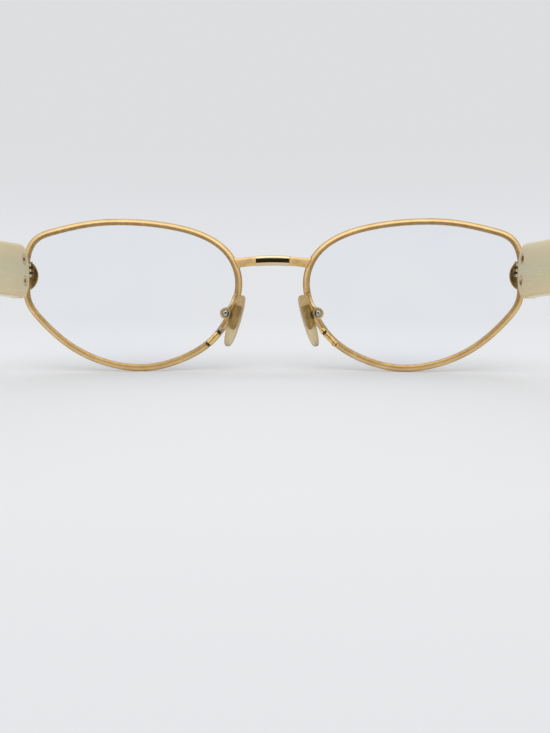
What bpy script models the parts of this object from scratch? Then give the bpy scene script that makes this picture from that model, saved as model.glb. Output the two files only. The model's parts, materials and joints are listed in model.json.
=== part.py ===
"""Gold wire spectacles with wide ivory temples, standing open on a table.

The front faces -Y, the temples run back along +Y, +Z is up and X = 0 is the plane of symmetry.
The left side is the wearer's left, at +X. Every right-hand piece is the mirror of its left-hand one.
"""
import math

import bmesh
import bpy
import numpy as np

MM = 0.001

# Lenses and rims: the outline is that of the rim wire's centre line
LENS_WIDTH = 55.15 * MM
LENS_HEIGHT = 38.8 * MM
NASAL_GAP = 17.75 * MM           # between the two centre lines, at the nose
BASE_RADIUS = 105.0 * MM         # sphere that the lenses and rims lie on
WRAP = math.radians(5.0)         # each lens turns back at its outer side
TILT = math.radians(8.0)         # each lens leans forward at its top
LENS_THICKNESS = 1.9 * MM
WIRE_WIDTH = 1.65 * MM           # across the rim wire, seen from the front
WIRE_DEPTH = 2.1 * MM            # front to back
WIRE_SHOULDER = 0.15             # its round half starts this share of the width inside its middle
WIRE_LIP = 0.92                  # its inner edges stand in to this share of the half depth
GROOVE_DEPTH = 0.40 * MM
GROOVE_HALF_WIDTH = 0.55 * MM
LENS_CLEARANCE = 0.06 * MM       # between the lens and the groove
LENS_TIP_CLEARANCE = 0.09 * MM   # between the bevel's tip and the groove's floor
NEAR_EDGE_SHARES = (1.0, 0.95, 0.9, 0.85, 0.8, 0.75, 0.7)  # of the lens, looked at behind a disc

# Half outline in shares of half the width and half the height: +x is outward, +z is up
LENS_SHAPE = (
    (1.000, 0.130),
    (0.989, 0.496),
    (0.913, 0.726),
    (0.735, 0.854),
    (0.404, 0.972),
    (0.005, 1.000),
    (-0.383, 0.933),
    (-0.684, 0.793),
    (-0.900, 0.555),
    (-0.998, 0.205),
    (-0.972, -0.090),
    (-0.880, -0.370),
    (-0.735, -0.630),
    (-0.470, -0.865),
    (-0.100, -0.995),
    (0.248, -0.934),
    (0.587, -0.714),
    (0.873, -0.343),
    (0.985, -0.090),
)

# Rim locks: each is a split barrel on the back of the rim, with a screw along it
LOCK_ANGLE = math.radians(204.4)  # of the split, round the lens from its outer side over the top
LOCK_RADIUS = 0.80 * MM
LOCK_LOWER_LENGTH = 4.2 * MM
LOCK_UPPER_LENGTH = 1.4 * MM
LOCK_SPLIT = 0.16 * MM
LOCK_OUTWARD = 0.72 * MM          # of the barrel's axis from the wire's centre line
LOCK_BORE_RADIUS = 0.38 * MM
LOCK_SHAFT_RADIUS = 0.33 * MM
LOCK_HEAD_RADIUS = 0.62 * MM
LOCK_HEAD_HEIGHT = 0.40 * MM
LOCK_SCREW_SHARE = 0.9            # of the upper half's length that the screw fills

# Bridge: a bar between the rims, arched up and bowed forward, with a polished swelling
BRIDGE_ANGLE = math.radians(163.5)
BRIDGE_HEIGHT = 2.4 * MM
BRIDGE_DEPTH = 1.75 * MM
BRIDGE_ARCH = 0.7 * MM
BRIDGE_BOW = 1.2 * MM
BRIDGE_POLISHED_LENGTH = 8.9 * MM
BRIDGE_SWELL = 0.10 * MM          # of the polished part beyond the satin ends
BRIDGE_STEP_LENGTH = 0.12 * MM
BRIDGE_END_SHARES = (1.0, 0.82, 0.64)   # places of the rings along each satin end
BRIDGE_DEEP_FULLNESS = 0.5        # its front and back are flatter as this falls; 1 gives an ellipse
BRIDGE_TALL_FULLNESS = 0.75       # and so are its top and bottom

SOLDER_GAP = 0.06 * MM            # left between two pieces that are soldered together

# Nose pads: each rocks on a screw that runs front to back through its box
PAD_OUTWARD = 2.71 * MM           # its pivot from the nasal end of the rim's centre line
PAD_BEHIND = 7.77 * MM            # from the foot of its arm
PAD_BELOW = 4.20 * MM             # from the lens's middle
PAD_LENGTH = 13.3 * MM
PAD_WIDTH = 6.5 * MM
PAD_THICKNESS = 2.1 * MM
PAD_TAPER = 0.12                  # the lower end is narrower by this share of the half width
PAD_FULLNESS = 0.62               # its ends are blunter as this falls; 1 gives an ellipse
PAD_LEAN = math.radians(16.5)     # the lower end stands further out
PAD_SPLAY = math.radians(20.0)    # the back edge stands further out
PAD_CENTRE = (-2.3 * MM, 1.6 * MM, -1.85 * MM)   # from the pivot
PAD_SWING = math.radians(12.0)
CORE_LENGTH = 5.4 * MM
CORE_WIDTH = 3.4 * MM
CORE_THICKNESS = 0.5 * MM
CORE_FULLNESS = 0.55
CORE_CLEARANCE = 0.05 * MM
EYE_RADIUS = 0.82 * MM
EYE_THICKNESS = 0.90 * MM
STEM_HEIGHT = 1.1 * MM
STEM_TURN_GAP = 0.1 * MM          # the stem turns to the pad this far outside the box
STEM_SINK = 0.05 * MM             # its end lies this far past the middle of the plate
BOX_RADIUS = 1.25 * MM
BOX_FRONT_WALL = 1.0 * MM
BOX_BACK_WALL = 0.65 * MM
BOX_SIDE_CLEARANCE = 0.05 * MM
PAD_SCREW_RADIUS = 0.38 * MM
PAD_SCREW_HEAD_RADIUS = 0.74 * MM
PAD_SCREW_HEAD_HEIGHT = 0.35 * MM
SLOT_SHARE = 0.17                 # half width of a screw's slot, as a share of its head's radius
SLOT_DEPTH = 0.5                  # as a share of its head's height
RUNNING_CLEARANCE = 0.05 * MM     # round every shaft, in its bore
ARM_RADIUS = 0.42 * MM
ARM_FOOT_ANGLE = math.radians(180.0)
ARM_REACH = 2.4 * MM              # how far the arm runs straight back before it curves
ARM_DROP = 1.5 * MM               # and how far it comes down straight onto its box
ARM_END = 0.3 * MM                # its last piece is straight, square to the box
ARM_LANDING = math.radians(32.0)  # it lands this far round the box's top, toward the nose

# Hinges: vertical axes just behind the outer side of each rim
HINGE_INSET = 2.54 * MM           # the axis from the rim's outermost point
HINGE_BEHIND = 2.1 * MM           # from the centre line's outermost point
HINGE_ABOVE = 6.54 * MM           # its middle from the lens's middle
KNUCKLE_RADIUS = 1.05 * MM
FRONT_KNUCKLES = 3
FRONT_KNUCKLE_HEIGHT = 0.72 * MM
TEMPLE_KNUCKLE_HEIGHT = 0.54 * MM
KNUCKLE_GAP = 0.05 * MM
KNUCKLE_SWING_GAP = 0.10 * MM     # between a knuckle and the other leaf's plate
FRONT_PLATE_THICKNESS = 1.0 * MM
FRONT_PLATE_HALF_DEPTH = 0.945 * MM
FRONT_WEB = (-0.79 * MM, 0.21 * MM)   # front and back side of its knuckles' webs, from the axis
WEB_LAP = 0.5 * MM                # of a knuckle's web into its leaf
LEAF_THICKNESS = 0.8 * MM
LEAF_LENGTH = 5.8 * MM            # of the temple leaf inside its temple
LEAF_HEIGHT = 7.9 * MM
LEAF_INSET = 0.55 * MM            # of the leaf from the temple's inner face
LEAF_CLEARANCE = 0.05 * MM
HINGE_SCREW_RADIUS = 0.42 * MM
HINGE_HEAD_RADIUS = 0.85 * MM
HINGE_HEAD_HEIGHT = 0.45 * MM
LEFT_FOLD = math.radians(90.0)
RIGHT_FOLD = math.radians(78.0)   # the right temple closes over the left one

# Endpieces and corner discs
ENDPIECE_HEIGHT = 5.2 * MM
ENDPIECE_OUTER = 3.6 * MM         # its outer side from the hinge axis
ENDPIECE_BEVEL = 0.30 * MM
STOP_GAP = 0.15 * MM              # between an endpiece and the open temple
DISC_RADIUS = 4.4 * MM
DISC_OUTWARD = 3.9 * MM           # its centre from the hinge axis
DISC_BELOW = 1.15 * MM
DISC_EDGE = 0.75 * MM             # thickness at the border
DISC_BORDER = 0.55 * MM
DISC_DOME = 0.9 * MM
DISC_HOLLOW = 0.25 * MM           # the back is hollowed by this
DISC_FLOOR = 0.46 * MM            # thickness where the dome meets the border
DISC_ROUNDING = 0.15 * MM
DOME_SHARES = (0.75, 0.5, 0.25, 0.0)   # places of the dome's rings along its radius

# Temples
TEMPLE_INNER = -0.6 * MM          # inner face from the hinge axis
TEMPLE_THICKNESS = 3.8 * MM
TEMPLE_END = 1.2 * MM             # front end from the hinge axis
TEMPLE_TOP = 6.45 * MM            # top edge above the middle of the hinge
TEMPLE_FRONT_HEIGHT = 13.5 * MM
TEMPLE_EAR_HEIGHT = 8.0 * MM      # at the start of the bend
TIP_HEIGHT = 6.8 * MM
TIP_THICKNESS = 3.0 * MM
TEMPLE_NOSE_RADIUS = 9.8 * MM     # the front end is an arc, seen from the side
TEMPLE_NOSE_DROP = 1.2 * MM       # of its foremost point below the temple's middle
TEMPLE_NOSE_LENGTH = 7.0 * MM     # behind this the sections stand square
TEMPLE_EDGE_RADIUS = 1.0 * MM
EDGE_RADIUS_LIMIT = 0.45          # as a share of the section's height and thickness
TEMPLE_STRAIGHT = 84.0 * MM       # from the hinge axis to the bend
EAR_RADIUS = 25.0 * MM
EAR_BEND = math.radians(50.0)
FRONT_ROUNDING = 0.4 * MM         # of the front end's edges
FRONT_ROUNDING_SHARE = 0.3        # where its middle section lies
TIP_ROUNDING_TURN = math.radians(80.0)
TIP_FLATNESS = 0.45               # the tip's end keeps this share of its thickness
WIRE_CORE_RADIUS = 0.55 * MM
WIRE_CORE_STOP = 12.0 * MM        # the core ends this far before the tip
WIRE_CORE_EASE = 20.0 * MM        # it goes from the leaf's line to the body's middle over this
WIRE_CORE_GAP = 0.3 * MM          # between the leaf and the wire
CHANNEL_EXCESS = 0.4 * MM         # the wire's channel reaches this far past both its ends
RIVET_BACK = 4.2 * MM             # from the hinge axis
RIVET_SPACING = 5.3 * MM
RIVET_HEAD_RADIUS = 1.28 * MM
RIVET_PIN_RADIUS = 0.48 * MM
RIVET_LENGTH = 2.7 * MM
RIVET_DIMPLE_RADIUS = 0.45 * MM
RIVET_DIMPLE_DEPTH = 0.22 * MM

SIDES = ("left", "right")

# Fineness of the mesh
RIM_STATIONS = 52                # an even number, closer together where the rim bends more
RIM_ARC_STEPS = 5
LENS_SHARES = (0.78, 0.52, 0.26)  # of the rings across each lens face
BRIDGE_SIDES = 14
DISC_SIDES = 24
BOX_SIDES = 20
SCREW_SIDES = 14
KNUCKLE_SIDES = 14
BORE_SIDES = 12
BARREL_SIDES = 14
WIRE_SIDES = 8
ARM_STEPS = 12
PAD_STATIONS = 10
PAD_SIDES = 14
CORE_STATIONS = 6
CORE_SIDES = 12
EAR_STATIONS = 7
TIP_STATIONS = 4
SIDE_SHARES = (0.6, 0.2, -0.2, -0.6)  # places of the points down each side of a temple's section
CUTTER_EXCESS = 1.0 * MM         # a cutter reaches this far past what it cuts


# Materials

def material(name, colour, roughness, metallic, transmission=0.0):
    """A Principled material with one plain colour."""
    made = bpy.data.materials.new(name)
    made.use_nodes = True
    shader = made.node_tree.nodes["Principled BSDF"]
    shader.inputs["Base Color"].default_value = (*colour, 1.0)
    shader.inputs["Roughness"].default_value = roughness
    shader.inputs["Metallic"].default_value = metallic
    shader.inputs["Transmission Weight"].default_value = transmission
    return made


def make_materials():
    return {
        "satin_gold": material("satin_gold", (0.82, 0.56, 0.24), 0.40, 1.0),
        "polished_gold": material("polished_gold", (0.88, 0.62, 0.28), 0.15, 1.0),
        "dark_gold": material("dark_gold", (0.30, 0.18, 0.06), 0.45, 1.0),
        "steel": material("steel", (0.70, 0.66, 0.58), 0.25, 1.0),
        "ivory": material("ivory", (0.72, 0.66, 0.48), 0.35, 0.0),
        "lens": material("lens", (0.97, 0.98, 1.0), 0.02, 0.0, 1.0),
        "pad": material("pad", (0.78, 0.72, 0.52), 0.25, 0.0, 0.5),
    }


# Mesh building

def side_sign(side):
    """The sign of X on a side."""
    return 1.0 if side == "left" else -1.0


def new_object(name, mesh, parent, finish=None, smooth_angle=40.0):
    """An object under its parent, shaded smooth except at its sharp edges."""
    made = bpy.data.objects.new(name, mesh)
    bpy.context.collection.objects.link(made)
    made.parent = parent
    if finish:
        mesh.materials.append(finish)
    mesh.shade_smooth()
    mesh.set_sharp_from_angle(angle=math.radians(smooth_angle))
    return made


def mesh_from(shape, name, sign):
    """A mesh from a bmesh made for the left side, mirrored in X where the sign is negative."""
    bmesh.ops.scale(shape, vec=(sign, 1.0, 1.0), verts=shape.verts)
    bmesh.ops.recalc_face_normals(shape, faces=shape.faces)
    mesh = bpy.data.meshes.new(name)
    shape.to_mesh(mesh)
    shape.free()
    return mesh


def loft(rings, closed=False):
    """A solid through rings of points: capped at both ends, or closed on itself."""
    shape = bmesh.new()
    rows = [[shape.verts.new(point) for point in ring] for ring in rings]
    pairs = list(zip(rows, rows[1:]))
    if closed:
        pairs.append((rows[-1], rows[0]))
    else:
        shape.faces.new(rows[0][::-1])
        shape.faces.new(rows[-1])
    count = len(rows[0])
    for near, far in pairs:
        for i in range(count):
            j = (i + 1) % count
            shape.faces.new((near[i], near[j], far[j], far[i]))
    return shape


def turned(profile, centre, axis, across, sides):
    """A solid turned about an axis. The profile is (radius, distance along the axis), and it
    starts and ends on the axis, or is a closed loop that stays off it."""
    centre, axis, across = (np.array(v, dtype=float) for v in (centre, axis, across))
    third = np.cross(axis, across)
    shape = bmesh.new()
    rows = []
    for radius, along in profile:
        middle = centre + axis * along
        if radius == 0.0:
            rows.append([shape.verts.new(middle)] * sides)
            continue
        turns = np.linspace(0.0, 2.0 * math.pi, sides, endpoint=False)
        rows.append([shape.verts.new(middle + radius * (across * math.cos(a) + third * math.sin(a)))
                     for a in turns])
    pairs = list(zip(rows, rows[1:]))
    if profile[0][0] > 0.0:
        pairs.append((rows[-1], rows[0]))
    for near, far in pairs:
        for i in range(sides):
            j = (i + 1) % sides
            corners = list(dict.fromkeys((near[i], near[j], far[j], far[i])))
            if len(corners) > 2:
                shape.faces.new(corners)
    return shape


def rod(radius, start, stop):
    """Turned profile of a plain rod."""
    return ((0.0, start), (radius, start), (radius, stop), (0.0, stop))


def prism(outline, axis, low, high):
    """An outline extruded along a world axis: the outline gives the other two coordinates in order."""
    rings = [[np.insert(np.array(point, dtype=float), axis, level) for point in outline]
             for level in (low, high)]
    return loft(rings)


def block(low, high):
    """A box between two corners."""
    (x0, y0, z0), (x1, y1, z1) = low, high
    return prism(((x0, y0), (x1, y0), (x1, y1), (x0, y1)), 2, z0, z1)


def combine(body, tool, operation):
    """A Boolean of the body with a tool, which is kept as a hidden guide."""
    change = body.modifiers.new(tool.name, "BOOLEAN")
    change.operation = operation
    change.solver = "EXACT"
    change.object = tool
    tool.hide_render = True
    tool.display_type = "WIRE"


def unit(vector):
    return vector / np.linalg.norm(vector)


def tool_object(name, shape, sign, parent):
    return new_object(name, mesh_from(shape, name, sign), parent)


def empty(name, location, rotation=(0.0, 0.0, 0.0), parent=None):
    made = bpy.data.objects.new(name, None)
    bpy.context.collection.objects.link(made)
    made.location = location
    made.rotation_euler = rotation
    made.parent = parent
    return made


# The outline of the lenses

def smooth_loop(points, count, fine=24):
    """Evenly spaced points on the smooth closed curve through the given points."""
    points = np.array(points, dtype=float)
    after = np.roll(points, -1, axis=0)
    step = np.linalg.norm(after - points, axis=1)
    before = np.roll(step, 1)
    slope = (after - points) / step[:, None]
    size = len(points)
    system = np.diag(2.0 * (step + before))
    for i in range(size):
        system[i, (i + 1) % size] += step[i]
        system[i, i - 1] += before[i]
    bend = np.linalg.solve(system, 6.0 * (slope - np.roll(slope, 1, axis=0)))
    bend_after = np.roll(bend, -1, axis=0)
    rows = []
    for share in np.linspace(0.0, 1.0, fine, endpoint=False):
        rest = 1.0 - share
        straight = rest * points + share * after
        curved = (rest ** 3 - rest) * bend + (share ** 3 - share) * bend_after
        rows.append(straight + curved * (step ** 2 / 6.0)[:, None])
    dense = np.stack(rows, axis=1).reshape(-1, 2)
    return resample(np.vstack((dense, dense[:1])), count + 1)[:-1]


def resample(path, count):
    """Evenly spaced points along a polyline."""
    run = np.concatenate(([0.0], np.cumsum(np.linalg.norm(np.diff(path, axis=0), axis=1))))
    wanted = np.linspace(0.0, run[-1], count)
    return np.stack([np.interp(wanted, run, column) for column in path.T], axis=1)


def lens_outline(count=2400):
    """The wire's centre line in the lens's own plane, from its outer side over the top."""
    half = np.array((LENS_WIDTH, LENS_HEIGHT)) / 2.0
    loop = smooth_loop(np.array(LENS_SHAPE) * half, count)
    lowest, highest = loop.min(axis=0), loop.max(axis=0)
    return (loop - (lowest + highest) / 2.0) * 2.0 * half / (highest - lowest)


def on_sphere(flat):
    """Points (x, y, z) on the base sphere: its front-most point is the lens's origin."""
    x, z = flat[:, 0], flat[:, 1]
    return np.stack((x, BASE_RADIUS - np.sqrt(BASE_RADIUS ** 2 - x ** 2 - z ** 2), z), axis=1)


class Rim:
    """The wire's centre line with its directions: along, outward and backward at each station."""

    def __init__(self):
        self.flat = lens_outline()
        self.points = on_sphere(self.flat)
        self.along = np.roll(self.points, -1, axis=0) - np.roll(self.points, 1, axis=0)
        self.along /= np.linalg.norm(self.along, axis=1)[:, None]
        self.back = np.array((0.0, BASE_RADIUS, 0.0)) - self.points
        self.back /= np.linalg.norm(self.back, axis=1)[:, None]
        self.out = np.cross(self.back, self.along)
        self.step = np.linalg.norm(self.points[1] - self.points[0])
        self.stations = self.spread_stations()

    def spread_stations(self):
        """Stations round the wire from one side of its split to the other."""
        total = len(self.points)
        bend = np.linalg.norm(np.roll(self.along, -1, axis=0) - np.roll(self.along, 1, axis=0), axis=1)
        split = self.index(LOCK_ANGLE)
        crowd = np.concatenate(([0.0], np.cumsum(np.sqrt(np.roll(bend, -split)))))
        gap = LOCK_SPLIT / 2.0 / self.step
        first, last = np.interp((gap, total - gap), np.arange(total + 1), crowd)
        runs = np.interp(np.linspace(first, last, RIM_STATIONS + 1), crowd, np.arange(total + 1))
        return [split + int(round(run)) for run in runs]

    def index(self, angle):
        """The station at an angle round the lens."""
        turn = np.angle(np.exp(1j * (np.arctan2(self.flat[:, 1], self.flat[:, 0]) - angle)))
        return int(np.argmin(np.abs(turn)))

    def at(self, index):
        index = index % len(self.points)
        return self.points[index], self.along[index], self.out[index], self.back[index]

    def offset(self, index, out, back):
        point, _, outward, backward = self.at(index)
        return point + outward * out + backward * back


def lens_rotation():
    """Turns the lens's own axes into the world's, on the left side."""
    lean = np.array(((1.0, 0.0, 0.0),
                     (0.0, math.cos(TILT), -math.sin(TILT)),
                     (0.0, math.sin(TILT), math.cos(TILT))))
    turn = np.array(((math.cos(WRAP), -math.sin(WRAP), 0.0),
                     (math.sin(WRAP), math.cos(WRAP), 0.0),
                     (0.0, 0.0, 1.0)))
    return turn @ lean


def wire_profile():
    """Section of the rim wire as (outward, backward): a half round with a groove for the lens."""
    half_depth = WIRE_DEPTH / 2.0
    inner = -WIRE_WIDTH / 2.0
    shoulder = WIRE_SHOULDER * WIRE_WIDTH
    outer = []
    for turn in np.linspace(math.pi / 2.0, -math.pi / 2.0, RIM_ARC_STEPS + 1):
        outer.append((-shoulder + (WIRE_WIDTH / 2.0 + shoulder) * math.cos(turn),
                      half_depth * math.sin(turn)))
    lip = half_depth * WIRE_LIP
    groove = ((inner, -lip), (inner, -GROOVE_HALF_WIDTH), (inner + GROOVE_DEPTH, 0.0),
              (inner, GROOVE_HALF_WIDTH), (inner, lip))
    return tuple(outer) + groove


def rim_rings(rim):
    """Rings of the wire from one side of its split round to the other."""
    profile = wire_profile()
    return [[rim.offset(place, out, back) for out, back in profile] for place in rim.stations]


class Layout:
    """Places that follow from the sizes, for the left side."""

    def __init__(self):
        self.rim = Rim()
        self.rotation = lens_rotation()
        wire = np.vstack([np.array(ring) for ring in rim_rings(self.rim)]) @ self.rotation.T
        centre_line = self.rim.points @ self.rotation.T
        self.origin = np.array((NASAL_GAP / 2.0 - centre_line[:, 0].min(),
                                -centre_line[np.argmax(centre_line[:, 0]), 1],
                                -wire[:, 2].min()))
        self.wire = wire + self.origin
        self.hinge_height = (FRONT_KNUCKLES * FRONT_KNUCKLE_HEIGHT
                             + (FRONT_KNUCKLES - 1) * TEMPLE_KNUCKLE_HEIGHT
                             + 2 * (FRONT_KNUCKLES - 1) * KNUCKLE_GAP)
        self.hinge = np.array((self.wire[:, 0].max() - HINGE_INSET, HINGE_BEHIND,
                               self.origin[2] + HINGE_ABOVE))
        foot = self.rim.index(ARM_FOOT_ANGLE)
        self.arm_foot = self.world(self.rim.offset(foot, 0.0, WIRE_DEPTH / 2.0 + SOLDER_GAP))
        self.arm_direction = self.world_direction(self.rim.back[foot])
        self.pad = np.array((NASAL_GAP / 2.0 + PAD_OUTWARD, self.arm_foot[1] + PAD_BEHIND,
                             self.origin[2] - PAD_BELOW))
        self.disc_back = self.front_near_disc() - 2.0 * SOLDER_GAP

    def front_near_disc(self):
        """The front-most Y of the rim and the lens behind the corner disc."""
        layers = [self.wire]
        for share in NEAR_EDGE_SHARES:
            front = on_sphere(self.rim.flat * share) - (0.0, LENS_THICKNESS / 2.0, 0.0)
            layers.append(front @ self.rotation.T + self.origin)
        surface = np.vstack(layers)
        across = surface[:, 0] - self.hinge[0] - DISC_OUTWARD
        up = surface[:, 2] - self.hinge[2] + DISC_BELOW
        return surface[np.hypot(across, up) < DISC_RADIUS + SOLDER_GAP, 1].min()

    def world(self, local):
        return self.rotation @ np.array(local) + self.origin

    def world_direction(self, local):
        return self.rotation @ np.array(local)


# Front

def make_rim(side, sign, layout, frame, finish):
    shape = loft(rim_rings(layout.rim))
    name = f"{side}_rim"
    return new_object(name, mesh_from(shape, name, sign), frame, finish, 35.0)


def lens_rings(rim):
    """Rings over the lens: out across the front, round the bevelled edge and back to the middle."""
    half = LENS_THICKNESS / 2.0
    edge = -WIRE_WIDTH / 2.0 - LENS_CLEARANCE
    bevel_tip = -WIRE_WIDTH / 2.0 + GROOVE_DEPTH - LENS_TIP_CLEARANCE
    bevel_half = GROOVE_HALF_WIDTH - 2.0 * LENS_CLEARANCE
    places = rim.stations[:-1]
    rings = []
    for out, back in ((edge, -half), (edge, -bevel_half), (bevel_tip, 0.0), (edge, bevel_half), (edge, half)):
        rings.append([rim.offset(place, out, back) for place in places])
    return rings


def close_lens_face(shape, row, depth):
    """Closes one face of a lens with rings of half as many points as its edge."""
    outer = row[::2]
    for share in LENS_SHARES:
        flat = np.array([(v.co.x, v.co.z) for v in row[::2]]) * share
        lifted = on_sphere(flat)
        back = np.array((0.0, BASE_RADIUS, 0.0)) - lifted
        back /= np.linalg.norm(back, axis=1)[:, None]
        inner = [shape.verts.new(point) for point in lifted + back * depth]
        for i in range(len(inner)):
            j = (i + 1) % len(inner)
            if outer[i] is row[2 * i]:
                middle = row[2 * i + 1]
                shape.faces.new((outer[i], middle, inner[i]))
                shape.faces.new((middle, inner[j], inner[i]))
                shape.faces.new((middle, outer[j], inner[j]))
            else:
                shape.faces.new((outer[i], outer[j], inner[j], inner[i]))
        outer = inner
    centre = shape.verts.new((0.0, depth, 0.0))
    for i in range(len(outer)):
        shape.faces.new((outer[i], outer[(i + 1) % len(outer)], centre))


def make_lens(side, sign, layout, frame, finish):
    """A lens with the same curve on both faces and a bevel that sits in the rim's groove."""
    rings = lens_rings(layout.rim)
    shape = bmesh.new()
    rows = [[shape.verts.new(point) for point in ring] for ring in rings]
    count = len(rows[0])
    for near, far in zip(rows, rows[1:]):
        for i in range(count):
            j = (i + 1) % count
            shape.faces.new((near[i], near[j], far[j], far[i]))
    for row, depth in ((rows[0], -LENS_THICKNESS / 2.0), (rows[-1], LENS_THICKNESS / 2.0)):
        close_lens_face(shape, row, depth)
    name = f"{side}_lens"
    return new_object(name, mesh_from(shape, name, sign), frame, finish, 25.0)


def make_lock(side, sign, layout, frame, finishes):
    """The split barrel behind the rim, and the screw along it with its head at the lower end."""
    rim = layout.rim
    split = rim.index(LOCK_ANGLE)
    point, along, out, back = rim.at(split + int(round(LOCK_LOWER_LENGTH / 2.0 / rim.step)))
    start = rim.points[split]
    behind = WIRE_DEPTH / 2.0 + LOCK_RADIUS + SOLDER_GAP
    centre = point + back * behind + out * LOCK_OUTWARD
    centre = centre + along * ((start - centre) @ along)
    half = LOCK_SPLIT / 2.0
    bore = LOCK_BORE_RADIUS
    lower = ((bore, half), (LOCK_RADIUS, half), (LOCK_RADIUS, half + LOCK_LOWER_LENGTH),
             (bore, half + LOCK_LOWER_LENGTH))
    upper = ((bore, -half), (LOCK_RADIUS, -half), (LOCK_RADIUS, -half - LOCK_UPPER_LENGTH),
             (bore, -half - LOCK_UPPER_LENGTH))
    head = half + LOCK_LOWER_LENGTH + SOLDER_GAP
    tip = -half - LOCK_UPPER_LENGTH * LOCK_SCREW_SHARE
    screw = ((0.0, tip), (LOCK_SHAFT_RADIUS, tip), (LOCK_SHAFT_RADIUS, head), (LOCK_HEAD_RADIUS, head),
             (LOCK_HEAD_RADIUS, head + LOCK_HEAD_HEIGHT), (0.0, head + LOCK_HEAD_HEIGHT))
    pieces = (("rim_lock_lower", lower, "polished_gold"), ("rim_lock_upper", upper, "polished_gold"),
              ("rim_lock_screw", screw, "steel"))
    for label, profile, finish in pieces:
        name = f"{side}_{label}"
        shape = turned(profile, centre, along, out, BARREL_SIDES)
        new_object(name, mesh_from(shape, name, sign), frame, finishes[finish])


def make_bridge(layout, parent, finish):
    """A bar from rim to rim. Its end faces lie along the rims' outer sides."""
    point, _, out, back = layout.rim.at(layout.rim.index(BRIDGE_ANGLE))
    joint = layout.world(point + out * (WIRE_WIDTH / 2.0 + SOLDER_GAP))
    normal = layout.world_direction(out)
    reach = joint[0]
    polished = BRIDGE_POLISHED_LENGTH / 2.0
    places = [-share for share in BRIDGE_END_SHARES]
    places.append(-(polished + BRIDGE_STEP_LENGTH) / reach)
    places += list(np.linspace(-polished / reach, polished / reach, 7))
    places += [-place for place in places[3::-1]]
    turns = np.linspace(0.0, 2.0 * math.pi, BRIDGE_SIDES, endpoint=False)
    rings = []
    for place in places:
        swell = BRIDGE_SWELL if abs(place) * reach <= polished + BRIDGE_STEP_LENGTH / 2.0 else 0.0
        crown = 1.0 - place ** 2
        centre = np.array((place * reach, joint[1] - BRIDGE_BOW * crown, joint[2] + BRIDGE_ARCH * crown))
        ring = []
        for turn in turns:
            cos, sin = math.cos(turn), math.sin(turn)
            deep = (BRIDGE_DEPTH / 2.0 + swell) * math.copysign(abs(cos) ** BRIDGE_DEEP_FULLNESS, cos)
            tall = (BRIDGE_HEIGHT / 2.0 + swell) * math.copysign(abs(sin) ** BRIDGE_TALL_FULLNESS, sin)
            ring.append(centre + np.array((0.0, deep, tall)))
        rings.append(ring)
    for ring, sign in ((rings[0], -1.0), (rings[-1], 1.0)):
        for i, corner in enumerate(ring):
            slide = (normal[1] * (corner[1] - joint[1]) + normal[2] * (corner[2] - joint[2])) / normal[0]
            ring[i] = np.array((sign * (reach - slide), corner[1], corner[2]))
    return new_object("bridge", mesh_from(loft(rings), "bridge", 1.0), parent, finish, 30.0)


# Nose pads

def pad_axes():
    """Directions of a left pad: down its length, back across its width, and toward the nose."""
    down = np.array((math.sin(PAD_LEAN), 0.0, -math.cos(PAD_LEAN)))
    nose = np.array((-math.cos(PAD_SPLAY), math.sin(PAD_SPLAY), 0.0))
    nose = unit(nose - down * (nose @ down))
    back = np.cross(nose, down)
    return down, back * math.copysign(1.0, back[1]), nose


def pad_form(length, width, thickness, taper, stations, sides, fullness):
    """A flattened, rounded form: stations down its length, each a rounded section."""
    down, back, nose = pad_axes()
    centre = np.array(PAD_CENTRE)
    rings = []
    for turn in np.linspace(0.0, math.pi, stations + 2)[1:-1]:
        along = -math.cos(turn)
        full = math.sin(turn) ** fullness
        ring = []
        for angle in np.linspace(0.0, 2.0 * math.pi, sides, endpoint=False):
            across = width / 2.0 * full * (1.0 - taper * (along + 1.0) / 2.0) * math.cos(angle)
            through = thickness / 2.0 * full * math.sin(angle)
            ring.append(centre + down * along * length / 2.0 + back * across + nose * through)
        rings.append(ring)
    return loft(rings)


def core_plate(grow):
    size = (CORE_LENGTH + 2 * grow, CORE_WIDTH + 2 * grow, CORE_THICKNESS + 2 * grow)
    return pad_form(*size, 0.0, CORE_STATIONS, CORE_SIDES, CORE_FULLNESS)


def core_stem(grow):
    """The stem from the eye on the pivot, straight out of the box, and then to the plate in the pad."""
    down, _, nose = pad_axes()
    centre = np.array(PAD_CENTRE)
    target = centre - down * (centre @ down) - nose * STEM_SINK
    outside = np.array((-BOX_RADIUS - STEM_TURN_GAP, 0.0, 0.0))
    half_tall = STEM_HEIGHT / 2.0 + grow
    half_deep = EYE_THICKNESS / 2.0 + grow
    rings = []
    for place in (np.zeros(3), outside, target + unit(target - outside) * grow):
        rings.append([place + np.array((0.0, y, z)) for y, z in
                      ((-half_deep, -half_tall), (half_deep, -half_tall),
                       (half_deep, half_tall), (-half_deep, half_tall))])
    return loft(rings)


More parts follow.
